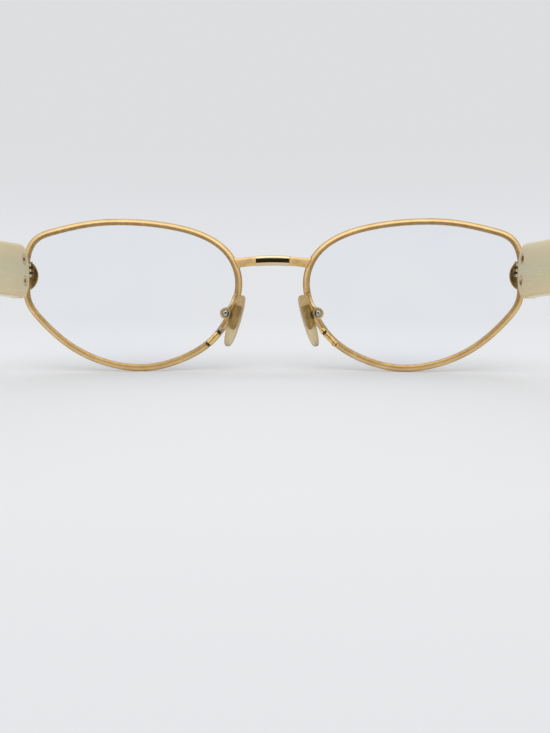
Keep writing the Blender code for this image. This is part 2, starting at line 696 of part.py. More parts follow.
def make_pad(side, sign, pivot, finishes):
    """The pad and its metal core, which rock together on the pad screw."""
    name = f"{side}_nose_pad"
    size = (PAD_LENGTH, PAD_WIDTH, PAD_THICKNESS)
    form = pad_form(*size, PAD_TAPER, PAD_STATIONS, PAD_SIDES, PAD_FULLNESS)
    pad = new_object(name, mesh_from(form, name, sign), pivot, finishes["pad"], 50.0)
    combine(pad, tool_object(f"cut_{side}_pad_plate", core_plate(CORE_CLEARANCE), sign, pivot), "DIFFERENCE")
    combine(pad, tool_object(f"cut_{side}_pad_stem", core_stem(CORE_CLEARANCE), sign, pivot), "DIFFERENCE")

    name = f"{side}_pad_core"
    core = new_object(name, mesh_from(core_plate(0.0), name, sign), pivot, finishes["steel"])
    half = EYE_THICKNESS / 2.0
    eye = turned(rod(EYE_RADIUS, -half, half), (0, 0, 0), (0, 1, 0), (1, 0, 0), BOX_SIDES)
    hole = turned(rod(PAD_SCREW_RADIUS + RUNNING_CLEARANCE, -half - CUTTER_EXCESS, half + CUTTER_EXCESS),
                  (0, 0, 0), (0, 1, 0), (1, 0, 0), BORE_SIDES)
    combine(core, tool_object(f"add_{side}_core_stem", core_stem(0.0), sign, pivot), "UNION")
    combine(core, tool_object(f"add_{side}_core_eye", eye, sign, pivot), "UNION")
    combine(core, tool_object(f"cut_{side}_core_eye", hole, sign, pivot), "DIFFERENCE")


def make_pad_box(side, sign, place, finishes):
    """The box that holds the pad's eye, and the slotted screw through both."""
    slot = EYE_THICKNESS / 2.0 + BOX_SIDE_CLEARANCE
    front, back = -slot - BOX_FRONT_WALL, slot + BOX_BACK_WALL
    name = f"{side}_pad_box"
    bore = PAD_SCREW_RADIUS + RUNNING_CLEARANCE
    walls = ((bore, front), (BOX_RADIUS, front), (BOX_RADIUS, back), (bore, back))
    shape = turned(walls, (0, 0, 0), (0, 1, 0), (1, 0, 0), BOX_SIDES)
    box = new_object(name, mesh_from(shape, name, sign), place, finishes["satin_gold"])
    wide = BOX_RADIUS + CUTTER_EXCESS
    gap = block((-wide, -slot, -wide), (EYE_RADIUS + RUNNING_CLEARANCE, slot, wide))
    combine(box, tool_object(f"cut_{side}_pad_box", gap, sign, place), "DIFFERENCE")

    name = f"{side}_pad_screw"
    seat = back + SOLDER_GAP
    top = seat + PAD_SCREW_HEAD_HEIGHT
    profile = ((0.0, front), (PAD_SCREW_RADIUS, front), (PAD_SCREW_RADIUS, seat),
               (PAD_SCREW_HEAD_RADIUS, seat), (PAD_SCREW_HEAD_RADIUS, top), (0.0, top))
    shape = turned(profile, (0, 0, 0), (0, 1, 0), (1, 0, 0), SCREW_SIDES)
    screw = new_object(name, mesh_from(shape, name, sign), place, finishes["steel"])
    half_slot = SLOT_SHARE * PAD_SCREW_HEAD_RADIUS
    slot_cut = block((-wide, top - SLOT_DEPTH * PAD_SCREW_HEAD_HEIGHT, -half_slot),
                     (wide, top + CUTTER_EXCESS, half_slot))
    combine(screw, tool_object(f"cut_{side}_pad_screw", slot_cut, sign, place), "DIFFERENCE")


def bezier(points, steps):
    """Points on a cubic curve with four control points."""
    a, b, c, d = (np.array(point) for point in points)
    t = np.linspace(0.0, 1.0, steps + 1)[:, None]
    s = 1.0 - t
    return a * s ** 3 + 3 * b * s ** 2 * t + 3 * c * s * t ** 2 + d * t ** 3


def tube_rings(path, radius, up):
    """Rings of a round wire along a path, square to it."""
    along = np.gradient(path, axis=0)
    along[0] = path[1] - path[0]
    along[-1] = path[-1] - path[-2]
    along /= np.linalg.norm(along, axis=1)[:, None]
    rings = []
    for point, ahead in zip(path, along):
        across = np.cross(ahead, up)
        across /= np.linalg.norm(across)
        over = np.cross(across, ahead)
        turns = np.linspace(0.0, 2.0 * math.pi, WIRE_SIDES, endpoint=False)
        rings.append([point + radius * (across * math.cos(a) + over * math.sin(a)) for a in turns])
    return rings


def make_pad_arm(side, sign, layout, parent, finish):
    """A wire that leaves the back of the rim, runs back and lands on the box's front wall."""
    foot = layout.arm_foot
    slot = EYE_THICKNESS / 2.0 + BOX_SIDE_CLEARANCE
    outward = np.array((-math.sin(ARM_LANDING), 0.0, math.cos(ARM_LANDING)))
    seat = layout.pad + (0.0, -slot - BOX_FRONT_WALL / 2.0, 0.0) + outward * (BOX_RADIUS + SOLDER_GAP)
    near = seat + outward * ARM_END
    curve = bezier((foot, foot + layout.arm_direction * ARM_REACH, near + outward * ARM_DROP, near), ARM_STEPS)
    path = np.vstack((curve, seat))
    name = f"{side}_pad_arm"
    shape = loft(tube_rings(path, ARM_RADIUS, np.array((1.0, 0.0, 0.0))))
    return new_object(name, mesh_from(shape, name, sign), parent, finish)


# Hinges, endpieces and discs

def knuckle_levels(height):
    """Bottom and top of every knuckle from the lowest up, as (is_front, low, high)."""
    level = -height / 2.0
    levels = []
    for i in range(2 * FRONT_KNUCKLES - 1):
        tall = FRONT_KNUCKLE_HEIGHT if i % 2 == 0 else TEMPLE_KNUCKLE_HEIGHT
        levels.append((i % 2 == 0, level, level + tall))
        level += tall + KNUCKLE_GAP
    return levels


def keyhole(toward, reach, low_side, high_side):
    """Outline of a knuckle with its web: a round of the knuckle's radius and a web along +X or +Y."""
    round_part = []
    for turn in np.linspace(0.0, 2.0 * math.pi, KNUCKLE_SIDES, endpoint=False):
        round_part.append((KNUCKLE_RADIUS * math.cos(turn), KNUCKLE_RADIUS * math.sin(turn)))
    web = ((0.0, low_side), (reach, low_side), (reach, high_side), (0.0, high_side))
    if toward == "y":
        web = tuple((b, a) for a, b in web)
    return round_part, web


def make_hinge(side, sign, layout, fixed, moving, finishes):
    """Two leaves with interleaved knuckles, and the screw that is their axis."""
    half = layout.hinge_height / 2.0
    inner = KNUCKLE_RADIUS + KNUCKLE_SWING_GAP
    name = f"{side}_front_hinge_leaf"
    plate = block((inner, -FRONT_PLATE_HALF_DEPTH, -half),
                  (inner + FRONT_PLATE_THICKNESS, FRONT_PLATE_HALF_DEPTH, half))
    front = new_object(name, mesh_from(plate, name, sign), fixed, finishes["satin_gold"])
    name = f"{side}_temple_hinge_leaf"
    rear = new_object(name, mesh_from(leaf_blade(0.0, layout), name, sign), moving, finishes["satin_gold"])
    leaf_low = TEMPLE_INNER + LEAF_INSET
    leaf_high = leaf_low + LEAF_THICKNESS
    for number, (is_front, low, high) in enumerate(knuckle_levels(layout.hinge_height)):
        if is_front:
            body, place = front, fixed
            round_part, web = keyhole("x", inner + WEB_LAP, *FRONT_WEB)
        else:
            body, place = rear, moving
            round_part, web = keyhole("y", inner + WEB_LAP, leaf_low, leaf_high)
        for label, outline in (("round", round_part), ("web", web)):
            shape = prism(outline, 2, low, high)
            combine(body, tool_object(f"add_{side}_knuckle_{number}_{label}", shape, sign, place), "UNION")
    bore_rod = rod(HINGE_SCREW_RADIUS + RUNNING_CLEARANCE, -half - CUTTER_EXCESS, half + CUTTER_EXCESS)
    for leaf, label, place in ((front, "front", fixed), (rear, "temple", moving)):
        bore = turned(bore_rod, (0, 0, 0), (0, 0, 1), (1, 0, 0), BORE_SIDES)
        combine(leaf, tool_object(f"cut_{side}_{label}_bore", bore, sign, place), "DIFFERENCE")
    pin_rod = rod(RIVET_PIN_RADIUS + RUNNING_CLEARANCE, leaf_low - CUTTER_EXCESS, leaf_high + CUTTER_EXCESS)
    for label, height in rivet_heights():
        pin = turned(pin_rod, (0, RIVET_BACK, height), (1, 0, 0), (0, 1, 0), BORE_SIDES)
        combine(rear, tool_object(f"cut_{side}_leaf_{label}", pin, sign, moving), "DIFFERENCE")

    name = f"{side}_hinge_screw"
    seat = half + SOLDER_GAP
    top = seat + HINGE_HEAD_HEIGHT
    profile = ((0.0, -half), (HINGE_SCREW_RADIUS, -half), (HINGE_SCREW_RADIUS, seat),
               (HINGE_HEAD_RADIUS, seat), (HINGE_HEAD_RADIUS, top), (0.0, top))
    shape = turned(profile, (0, 0, 0), (0, 0, 1), (1, 0, 0), SCREW_SIDES)
    screw = new_object(name, mesh_from(shape, name, sign), fixed, finishes["steel"])
    wide = HINGE_HEAD_RADIUS + CUTTER_EXCESS
    half_slot = SLOT_SHARE * HINGE_HEAD_RADIUS
    floor = top - SLOT_DEPTH * HINGE_HEAD_HEIGHT
    slot = block((-wide, -half_slot, floor), (wide, half_slot, top + CUTTER_EXCESS))
    combine(screw, tool_object(f"cut_{side}_hinge_screw", slot, sign, fixed), "DIFFERENCE")


def leaf_blade(grow, layout):
    """The part of the temple leaf inside the temple: a neck and a taller blade."""
    neck = layout.hinge_height / 2.0 + grow
    tall = LEAF_HEIGHT / 2.0 + grow
    start = KNUCKLE_RADIUS + KNUCKLE_SWING_GAP
    above_middle = LEAF_HEIGHT / 2.0 - TEMPLE_TOP + TEMPLE_FRONT_HEIGHT / 2.0
    shoulder = TEMPLE_END + temple_nose(above_middle) + 2.0 * LEAF_CLEARANCE - grow
    end = TEMPLE_END + LEAF_LENGTH + grow
    if grow:
        start = 0.0
    outline = ((start, -neck), (shoulder, -neck), (shoulder, -tall), (end, -tall),
               (end, tall), (shoulder, tall), (shoulder, neck), (start, neck))
    low = TEMPLE_INNER + LEAF_INSET
    return prism(outline, 0, low - grow, low + LEAF_THICKNESS + grow)


def make_endpiece(side, sign, layout, place, finish):
    """An angled block: its front part meets the rim and the disc, its rear part stops the temple."""
    inner = HINGE_INSET + SOLDER_GAP
    plate_end = KNUCKLE_RADIUS + KNUCKLE_SWING_GAP + FRONT_PLATE_THICKNESS + SOLDER_GAP
    front = layout.disc_back + SOLDER_GAP - layout.hinge[1]
    ledge = -FRONT_PLATE_HALF_DEPTH - SOLDER_GAP
    rear = TEMPLE_END - STOP_GAP
    outline = ((inner, front), (ENDPIECE_OUTER, front), (ENDPIECE_OUTER, rear),
               (plate_end, rear), (plate_end, ledge), (inner, ledge))
    name = f"{side}_endpiece"
    half = ENDPIECE_HEIGHT / 2.0
    piece = new_object(name, mesh_from(prism(outline, 2, -half, half), name, sign), place, finish)
    bevel = piece.modifiers.new("rounded_edges", "BEVEL")
    bevel.width = ENDPIECE_BEVEL
    bevel.segments = 2
    bevel.limit_method = "ANGLE"
    return piece


def make_disc(side, sign, layout, place, finish):
    """A domed disc with a raised border, hollowed a little at the back."""
    centre = (DISC_OUTWARD, layout.disc_back - layout.hinge[1], -DISC_BELOW)
    inside = DISC_RADIUS - DISC_BORDER
    edge = DISC_RADIUS - DISC_ROUNDING
    profile = [(0.0, DISC_HOLLOW), (inside, DISC_HOLLOW), (inside, 0.0), (edge, 0.0),
               (DISC_RADIUS, DISC_ROUNDING), (DISC_RADIUS, DISC_EDGE - DISC_ROUNDING),
               (edge, DISC_EDGE), (inside + DISC_ROUNDING, DISC_EDGE), (inside, DISC_FLOOR)]
    for share in DOME_SHARES:
        profile.append((inside * share, DISC_FLOOR + DISC_DOME * (1.0 - share ** 2)))
    name = f"{side}_corner_disc"
    shape = turned(profile, centre, (0, -1, 0), (1, 0, 0), DISC_SIDES)
    return new_object(name, mesh_from(shape, name, sign), place, finish)


# Temples

def temple_nose(height):
    """How far the temple's rounded front end falls back at a height above its middle."""
    return TEMPLE_NOSE_RADIUS - math.sqrt(TEMPLE_NOSE_RADIUS ** 2 - (height + TEMPLE_NOSE_DROP) ** 2)


def temple_height(run):
    """Height of the temple at a distance from the hinge axis, along its straight part."""
    share = (run - TEMPLE_END) / (TEMPLE_STRAIGHT - TEMPLE_END)
    return TEMPLE_FRONT_HEIGHT + (TEMPLE_EAR_HEIGHT - TEMPLE_FRONT_HEIGHT) * share


def tail_length(layout):
    """Straight length after the bend, so that the rounded tip stands on the table."""
    start = TEMPLE_TOP - TEMPLE_EAR_HEIGHT / 2.0 - EAR_RADIUS * (1.0 - math.cos(EAR_BEND))
    return (layout.hinge[2] + start - TIP_HEIGHT / 2.0) / math.sin(EAR_BEND)


def temple_stations(layout):
    """Sections of the temple: (run, middle height, slope, height, thickness, inset, nose share)."""
    step = FRONT_ROUNDING_SHARE * FRONT_ROUNDING
    rows = ((TEMPLE_END, FRONT_ROUNDING, 1.0), (TEMPLE_END + step, step, 1.0),
            (TEMPLE_END + FRONT_ROUNDING, 0.0, 1.0), (TEMPLE_END + TEMPLE_NOSE_LENGTH, 0.0, 0.0),
            (TEMPLE_STRAIGHT, 0.0, 0.0))
    stations = []
    for run, inset, nose in rows:
        tall = temple_height(run)
        stations.append((run, TEMPLE_TOP - tall / 2.0, 0.0, tall, TEMPLE_THICKNESS, inset, nose))
    middle = TEMPLE_TOP - TEMPLE_EAR_HEIGHT / 2.0
    tail = tail_length(layout)
    arc = EAR_RADIUS * EAR_BEND

    def tapered(run, height, turn, share):
        tall = TEMPLE_EAR_HEIGHT + (TIP_HEIGHT - TEMPLE_EAR_HEIGHT) * share
        thick = TEMPLE_THICKNESS + (TIP_THICKNESS - TEMPLE_THICKNESS) * share
        return run, height, turn, tall, thick, 0.0, 0.0

    for turn in np.linspace(0.0, EAR_BEND, EAR_STATIONS + 1)[1:]:
        stations.append(tapered(TEMPLE_STRAIGHT + EAR_RADIUS * math.sin(turn),
                                middle - EAR_RADIUS * (1.0 - math.cos(turn)), turn,
                                turn * EAR_RADIUS / (arc + tail)))
    run = stations[-1][0] + tail * math.cos(EAR_BEND)
    height = stations[-1][1] - tail * math.sin(EAR_BEND)
    stations.append(tapered(run, height, EAR_BEND, 1.0))
    for turn in np.linspace(0.0, TIP_ROUNDING_TURN, TIP_STATIONS + 1)[1:]:
        step = TIP_HEIGHT / 2.0 * math.sin(turn)
        stations.append((run + step * math.cos(EAR_BEND), height - step * math.sin(EAR_BEND), EAR_BEND,
                         TIP_HEIGHT * math.cos(turn),
                         TIP_THICKNESS * (TIP_FLATNESS + (1.0 - TIP_FLATNESS) * math.cos(turn)), 0.0, 0.0))
    return stations


def section(height, thickness, inset):
    """A rectangle with rounded corners as (across, up): down its outer side, then up its inner side."""
    radius = min(TEMPLE_EDGE_RADIUS, EDGE_RADIUS_LIMIT * height, EDGE_RADIUS_LIMIT * thickness)
    wide, tall = thickness / 2.0 - radius, height / 2.0 - radius
    corner = [(math.cos(turn), math.sin(turn)) for turn in (math.pi / 2.0, math.pi / 4.0, 0.0)]
    half = [(wide + (radius - inset) * x, tall + (radius - inset) * z) for x, z in corner]
    half += [(wide + radius - inset, tall * share) for share in SIDE_SHARES]
    half += [(wide + (radius - inset) * x, -tall - (radius - inset) * z) for x, z in corner[::-1]]
    return half + [(-x, z) for x, z in half[::-1]]


def temple_rings(layout):
    """Rings of the temple's body. Near the front end they lean back above and below the middle."""
    rings = []
    for run, middle, slope, tall, thick, inset, nose in temple_stations(layout):
        across_middle = TEMPLE_INNER + TEMPLE_THICKNESS / 2.0
        ring = []
        for across, up in section(tall, thick, inset):
            back = run + up * math.sin(slope)
            if nose:
                back += nose * temple_nose(up)
            ring.append((across_middle + across, back, middle + up * math.cos(slope)))
        rings.append(ring)
    return rings


def core_path(layout):
    """The wire inside the temple: from behind the hinge leaf, along the middle, into the tip."""
    leaf_middle = TEMPLE_INNER + LEAF_INSET + LEAF_THICKNESS / 2.0
    body_middle = TEMPLE_INNER + TEMPLE_THICKNESS / 2.0
    start = TEMPLE_END + LEAF_LENGTH
    path = []
    for run in np.linspace(start, TEMPLE_STRAIGHT, 9):
        share = min(1.0, (run - start) / WIRE_CORE_EASE)
        ease = share * share * (3.0 - 2.0 * share)
        middle = (TEMPLE_TOP - temple_height(run) / 2.0) * ease
        path.append((leaf_middle + (body_middle - leaf_middle) * ease, run, middle))
    middle = TEMPLE_TOP - TEMPLE_EAR_HEIGHT / 2.0
    for turn in np.linspace(0.0, EAR_BEND, 8)[1:]:
        path.append((body_middle, TEMPLE_STRAIGHT + EAR_RADIUS * math.sin(turn),
                     middle - EAR_RADIUS * (1.0 - math.cos(turn))))
    rest = tail_length(layout) - WIRE_CORE_STOP
    _, run, height = path[-1]
    path.append((body_middle, run + rest * math.cos(EAR_BEND), height - rest * math.sin(EAR_BEND)))
    return np.array(path)


def rivet_heights():
    return (("upper", RIVET_SPACING / 2.0), ("lower", -RIVET_SPACING / 2.0))


def temple_body(layout):
    """The temple before its cuts. Its ends are closed by strips from one side to the other."""
    shape = bmesh.new()
    rows = [[shape.verts.new(point) for point in ring] for ring in temple_rings(layout)]
    count = len(rows[0])
    for near, far in zip(rows, rows[1:]):
        for i in range(count):
            j = (i + 1) % count
            shape.faces.new((near[i], near[j], far[j], far[i]))
    for row in (rows[0], rows[-1]):
        for i in range(count // 2 - 1):
            shape.faces.new((row[i], row[i + 1], row[-2 - i], row[-1 - i]))
    bmesh.ops.triangulate(shape, faces=shape.faces)
    return shape


def make_temple(side, sign, layout, pivot, finishes):
    """The ivory body, cut out for the hinge leaf, the rivets and the core wire."""
    name = f"{side}_temple"
    temple = new_object(name, mesh_from(temple_body(layout), name, sign), pivot, finishes["ivory"], 35.0)
    combine(temple, tool_object(f"cut_{side}_leaf_slot", leaf_blade(LEAF_CLEARANCE, layout), sign, pivot),
            "DIFFERENCE")
    path = core_path(layout)
    first, last = unit(path[1] - path[0]), unit(path[-1] - path[-2])
    channel = np.vstack((path[0] - first * CHANNEL_EXCESS, path, path[-1] + last * CHANNEL_EXCESS))
    sideways = np.array((1.0, 0.0, 0.0))
    shape = loft(tube_rings(channel, WIRE_CORE_RADIUS + CORE_CLEARANCE, sideways))
    combine(temple, tool_object(f"cut_{side}_core_channel", shape, sign, pivot), "DIFFERENCE")

    leaf_low = TEMPLE_INNER + LEAF_INSET
    bore_end = TEMPLE_INNER + RIVET_LENGTH + CORE_CLEARANCE
    for label, height in rivet_heights():
        centre = (0.0, RIVET_BACK, height)
        head_end = leaf_low + LEAF_THICKNESS / 2.0
        head = rod(RIVET_HEAD_RADIUS + CORE_CLEARANCE, TEMPLE_INNER - CUTTER_EXCESS, head_end)
        wide = turned(head, centre, (1, 0, 0), (0, 1, 0), SCREW_SIDES)
        combine(temple, tool_object(f"cut_{side}_{label}_head", wide, sign, pivot), "DIFFERENCE")
        pin = rod(RIVET_PIN_RADIUS + CORE_CLEARANCE, leaf_low, bore_end)
        thin = turned(pin, centre, (1, 0, 0), (0, 1, 0), BORE_SIDES)
        combine(temple, tool_object(f"cut_{side}_{label}_pin", thin, sign, pivot), "DIFFERENCE")
        profile = ((0.0, TEMPLE_INNER + RIVET_DIMPLE_DEPTH),
                   (RIVET_DIMPLE_RADIUS, TEMPLE_INNER + RIVET_DIMPLE_DEPTH),
                   (RIVET_DIMPLE_RADIUS, TEMPLE_INNER), (RIVET_HEAD_RADIUS, TEMPLE_INNER),
                   (RIVET_HEAD_RADIUS, leaf_low - LEAF_CLEARANCE),
                   (RIVET_PIN_RADIUS, leaf_low - LEAF_CLEARANCE),
                   (RIVET_PIN_RADIUS, TEMPLE_INNER + RIVET_LENGTH),
                   (0.0, TEMPLE_INNER + RIVET_LENGTH))
        name = f"{side}_rivet_{label}"
        shape = turned(profile, centre, (1, 0, 0), (0, 1, 0), SCREW_SIDES)
        new_object(name, mesh_from(shape, name, sign), pivot, finishes["satin_gold"])

    name = f"{side}_temple_core"
    wire = path.copy()
    wire[0] += first * WIRE_CORE_GAP
    shape = loft(tube_rings(wire, WIRE_CORE_RADIUS, sideways))
    new_object(name, mesh_from(shape, name, sign), pivot, finishes["steel"])


# Assembly

def make_side(side, sign, layout, root, finishes):
    def mirrored(place):
        return (sign * place[0], place[1], place[2])

    frame = empty(f"{side}_lens_frame", mirrored(layout.origin), (TILT, 0.0, sign * WRAP), root)
    pad_place = empty(f"{side}_pad_box_place", mirrored(layout.pad), parent=root)
    pad_pivot = empty(f"{side}_pad_pivot", mirrored(layout.pad), parent=root)
    hinge_place = empty(f"{side}_hinge_place", mirrored(layout.hinge), parent=root)
    temple_pivot = empty(f"{side}_temple_pivot", mirrored(layout.hinge), parent=root)

    make_rim(side, sign, layout, frame, finishes["satin_gold"])
    make_lens(side, sign, layout, frame, finishes["lens"])
    make_lock(side, sign, layout, frame, finishes)
    make_pad_arm(side, sign, layout, root, finishes["satin_gold"])
    make_pad_box(side, sign, pad_place, finishes)
    make_pad(side, sign, pad_pivot, finishes)
    make_endpiece(side, sign, layout, hinge_place, finishes["satin_gold"])
    make_disc(side, sign, layout, hinge_place, finishes["dark_gold"])
    make_hinge(side, sign, layout, hinge_place, temple_pivot, finishes)
    make_temple(side, sign, layout, temple_pivot, finishes)
    return pad_pivot, temple_pivot


def solids():
    return [made for made in bpy.data.objects if made.type == "MESH" and not made.hide_render]


def bounds():
    """Lowest and highest corner of all solids."""
    depsgraph = bpy.context.evaluated_depsgraph_get()
    corners = []
    for made in solids():
        shown = made.evaluated_get(depsgraph)
        mesh = shown.to_mesh()
        corners += [made.matrix_world @ vertex.co for vertex in mesh.vertices]
        shown.to_mesh_clear()
    corners = np.array(corners)
    return corners.min(axis=0), corners.max(axis=0)


def main():
    for made in list(bpy.data.objects):
        bpy.data.objects.remove(made, do_unlink=True)
    finishes = make_materials()
    layout = Layout()
    root = empty("spectacles", (0.0, 0.0, 0.0))
    make_bridge(layout, root, finishes["satin_gold"])
    pivots = {}
    for side in SIDES:
        pivots[side] = make_side(side, side_sign(side), layout, root, finishes)
    bpy.context.view_layer.update()
    low, high = bounds()
    root.location = (-(low[0] + high[0]) / 2.0, -(low[1] + high[1]) / 2.0, -low[2])
    bpy.context.view_layer.update()
    print("size", np.round((high - low) / MM, 2), "shift", np.round(np.array(root.location) / MM, 4))
    for side, (pad_pivot, temple_pivot) in pivots.items():
        print(side, "pad pivot", tuple(round(v, 6) for v in pad_pivot.matrix_world.translation),
              "swing", round(math.degrees(PAD_SWING)),
              "temple axis", tuple(round(v, 6) for v in temple_pivot.matrix_world.translation),
              "fold", round(math.degrees(LEFT_FOLD if side == "left" else RIGHT_FOLD)))


main()
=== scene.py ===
"""Finish of the wire spectacles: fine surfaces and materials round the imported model.

The front faces -Y, the temples run back along +Y and +Z is up. The left side is at +X.
The pieces of a pair are made for the left side and mirrored for the right one.
"""
import json
import math

import bmesh
import bpy
import numpy as np
from mathutils import Matrix, Vector


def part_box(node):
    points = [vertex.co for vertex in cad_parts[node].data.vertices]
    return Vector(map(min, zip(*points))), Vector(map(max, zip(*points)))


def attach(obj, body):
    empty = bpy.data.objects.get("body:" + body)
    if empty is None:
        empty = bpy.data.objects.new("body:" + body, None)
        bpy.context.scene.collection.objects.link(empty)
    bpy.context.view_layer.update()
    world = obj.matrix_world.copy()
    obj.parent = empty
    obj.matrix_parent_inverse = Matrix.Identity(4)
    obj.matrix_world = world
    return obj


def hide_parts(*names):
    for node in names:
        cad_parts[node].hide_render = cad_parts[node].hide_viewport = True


MM = 0.001
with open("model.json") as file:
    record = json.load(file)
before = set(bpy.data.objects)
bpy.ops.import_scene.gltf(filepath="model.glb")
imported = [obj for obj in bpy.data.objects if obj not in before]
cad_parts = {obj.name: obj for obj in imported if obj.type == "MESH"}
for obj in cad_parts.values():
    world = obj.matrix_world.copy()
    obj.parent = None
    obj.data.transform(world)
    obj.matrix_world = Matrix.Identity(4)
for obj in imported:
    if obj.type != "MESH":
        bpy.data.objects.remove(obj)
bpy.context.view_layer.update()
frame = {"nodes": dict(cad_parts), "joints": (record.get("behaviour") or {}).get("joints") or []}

# Sizes of the lenses and the wire, as in the part
LENS_WIDTH = 55.15 * MM
LENS_HEIGHT = 38.8 * MM
LENS_THICKNESS = 1.9 * MM
LENS_CLEARANCE = 0.06 * MM
LENS_TIP_CLEARANCE = 0.09 * MM
LENS_SHAPE = (
    (1.000, 0.130), (0.989, 0.496), (0.913, 0.726), (0.735, 0.854), (0.404, 0.972), (0.005, 1.000),
    (-0.383, 0.933), (-0.684, 0.793), (-0.900, 0.555), (-0.998, 0.205), (-0.972, -0.090),
    (-0.880, -0.370), (-0.735, -0.630), (-0.470, -0.865), (-0.100, -0.995), (0.248, -0.934),
    (0.587, -0.714), (0.873, -0.343), (0.985, -0.090),
)
BASE_RADIUS = 105.0 * MM
WRAP = math.radians(5.0)
TILT = math.radians(8.0)
WIRE_WIDTH = 1.65 * MM
WIRE_DEPTH = 2.1 * MM
GROOVE_DEPTH = 0.40 * MM
GROOVE_HALF_WIDTH = 0.55 * MM
RIM_STATIONS = 260
SOLDER_GAP = 0.06 * MM
RUNNING_CLEARANCE = 0.05 * MM

# Rim locks
LOCK_ANGLE = math.radians(204.4)
LOCK_RADIUS = 0.80 * MM
LOCK_LOWER_LENGTH = 4.2 * MM
LOCK_UPPER_LENGTH = 1.4 * MM
LOCK_SPLIT = 0.16 * MM
LOCK_OUTWARD = {"left": 0.36 * MM, "right": 0.62 * MM}
LOCK_RING = {"left": 0.30 * MM, "right": 0.14 * MM}
LOCK_RING_DEPTH = 0.16 * MM
LOCK_BEVEL = 0.05 * MM
LOCK_RELIEF = 0.02 * MM
LOCK_UPPER_RING = 0.25 * MM
LOCK_UPPER_BEVEL = 0.07 * MM
LOCK_UPPER_CHAMFER = 0.3 * MM
LOCK_SCREW_LAP = 0.2 * MM
LOCK_NECK_RADIUS = 0.434 * MM
LOCK_HEAD_RADIUS = 0.62 * MM
LOCK_HEAD_HEIGHT = 0.40 * MM

# Bridge
BRIDGE_ANGLE = math.radians(163.5)
BRIDGE_HEIGHT = 2.4 * MM
BRIDGE_DEPTH = 1.75 * MM
BRIDGE_ARCH = 0.7 * MM
BRIDGE_BOW = 1.2 * MM
BRIDGE_POLISHED_LENGTH = 8.9 * MM
BRIDGE_SWELL = 0.10 * MM
BRIDGE_STEP = 0.05 * MM
BRIDGE_FILLET = 0.9 * MM
BRIDGE_FLARE = 0.26 * MM
BRIDGE_OVERRUN = 0.30 * MM

# Nose pads, their inserts, boxes and arms
PAD_LENGTH = 13.3 * MM
PAD_WIDTH = 6.5 * MM
PAD_THICKNESS = 2.1 * MM
PAD_TAPER = 0.12
PAD_FULLNESS = (0.50, 0.62)
PAD_LEAN = math.radians(16.5)
PAD_SPLAY = math.radians(20.0)
PAD_CENTRE = np.array((-2.3, 1.6, -1.85)) * MM
CORE_LENGTH = 6.2 * MM
CORE_WIDTH = 4.6 * MM
CORE_THICKNESS = 1.2 * MM
CORE_TAPER = 0.35
CORE_FULLNESS = (0.5, 0.8)
CORE_RISE = 0.85 * MM
CORE_SHIFT = 0.3 * MM
# Where the insert is painted dark as shade: round the box, behind it and between two heights
CORE_SHADE_ROUND_BOX = 0.5 * MM
CORE_SHADE_BACK = 2.0 * MM
CORE_SHADE_HEIGHTS = (-3.2 * MM, 0.6 * MM)
EYE_RADIUS = 0.82 * MM
EYE_THICKNESS = 0.90 * MM
STEM_HEIGHT = 1.1 * MM
STEM_SINK = 0.05 * MM
STEM_TURN_GAP = 0.1 * MM
BOX_RADIUS = 1.45 * MM
BOX_FRONT_WALL = 1.0 * MM
BOX_BACK_WALL = 0.65 * MM
BOX_LIP = 0.14 * MM
PAD_SCREW_RADIUS = 0.38 * MM
PAD_SCREW_HEAD_RADIUS = 0.74 * MM
PAD_SCREW_HEAD_HEIGHT = 0.35 * MM
PAD_SCREW_CROWN = 0.18 * MM
PAD_SCREW_SLOT_DEPTH = 0.20 * MM
PAD_SCREW_SLOT_HALF_WIDTH = 0.13 * MM
PAD_SCREW_TURN = {"left": math.radians(20.0), "right": math.radians(48.0)}
ARM_RADIUS = 0.42 * MM
ARM_FOOT_ANGLE = math.radians(180.0)
ARM_REACH = 2.4 * MM
ARM_DROP = 1.5 * MM
ARM_END = 0.3 * MM
ARM_LANDING = math.radians(32.0)
ARM_FOOT_LAP = 0.2 * MM
ARM_BOX_LAP = 0.15 * MM

# Temples and rivets
TEMPLE_INNER = -0.6 * MM
TEMPLE_THICKNESS = 3.8 * MM
TEMPLE_END = 1.2 * MM
TEMPLE_TOP = 6.45 * MM
TEMPLE_FRONT_HEIGHT = 13.5 * MM
TEMPLE_EAR_HEIGHT = 8.0 * MM
TEMPLE_NOSE_RADIUS = 9.8 * MM
TEMPLE_NOSE_DROP = -0.2 * MM
TEMPLE_NOSE_LENGTH = 7.0 * MM
TEMPLE_CORNER = 1.0 * MM
TEMPLE_CORNER_REACH = 2.2 * MM
TEMPLE_EDGE_RADIUS = 1.0 * MM
TEMPLE_NOSE_ROUNDING = 0.4 * MM
TEMPLE_STRAIGHT = 84.0 * MM
EAR_RADIUS = 25.0 * MM
EAR_BEND = math.radians(50.0)
TIP_HEIGHT = 6.8 * MM
TIP_THICKNESS = 3.0 * MM
TIP_EDGE = 0.40
RIVET_BACK = 4.2 * MM
RIVET_SPACING = 5.3 * MM
RIVET_HEAD_RADIUS = 1.28 * MM
RIVET_SUNK = {"left_upper": 0.56 * MM, "left_lower": 0.50 * MM,
              "right_upper": 0.80 * MM, "right_lower": 0.34 * MM}
RIVET_FACE = 0.02 * MM
RIVET_DEPTH = 0.40 * MM
RIVET_HOLLOW = 0.30 * MM
RIVET_RECESS_GAP = 0.06 * MM
RIVET_RECESS_DEPTH = 0.45 * MM
LEAF_SLOT_HALF_HEIGHT = 1.80 * MM
LEAF_SLOT_LENGTH = 2.2 * MM

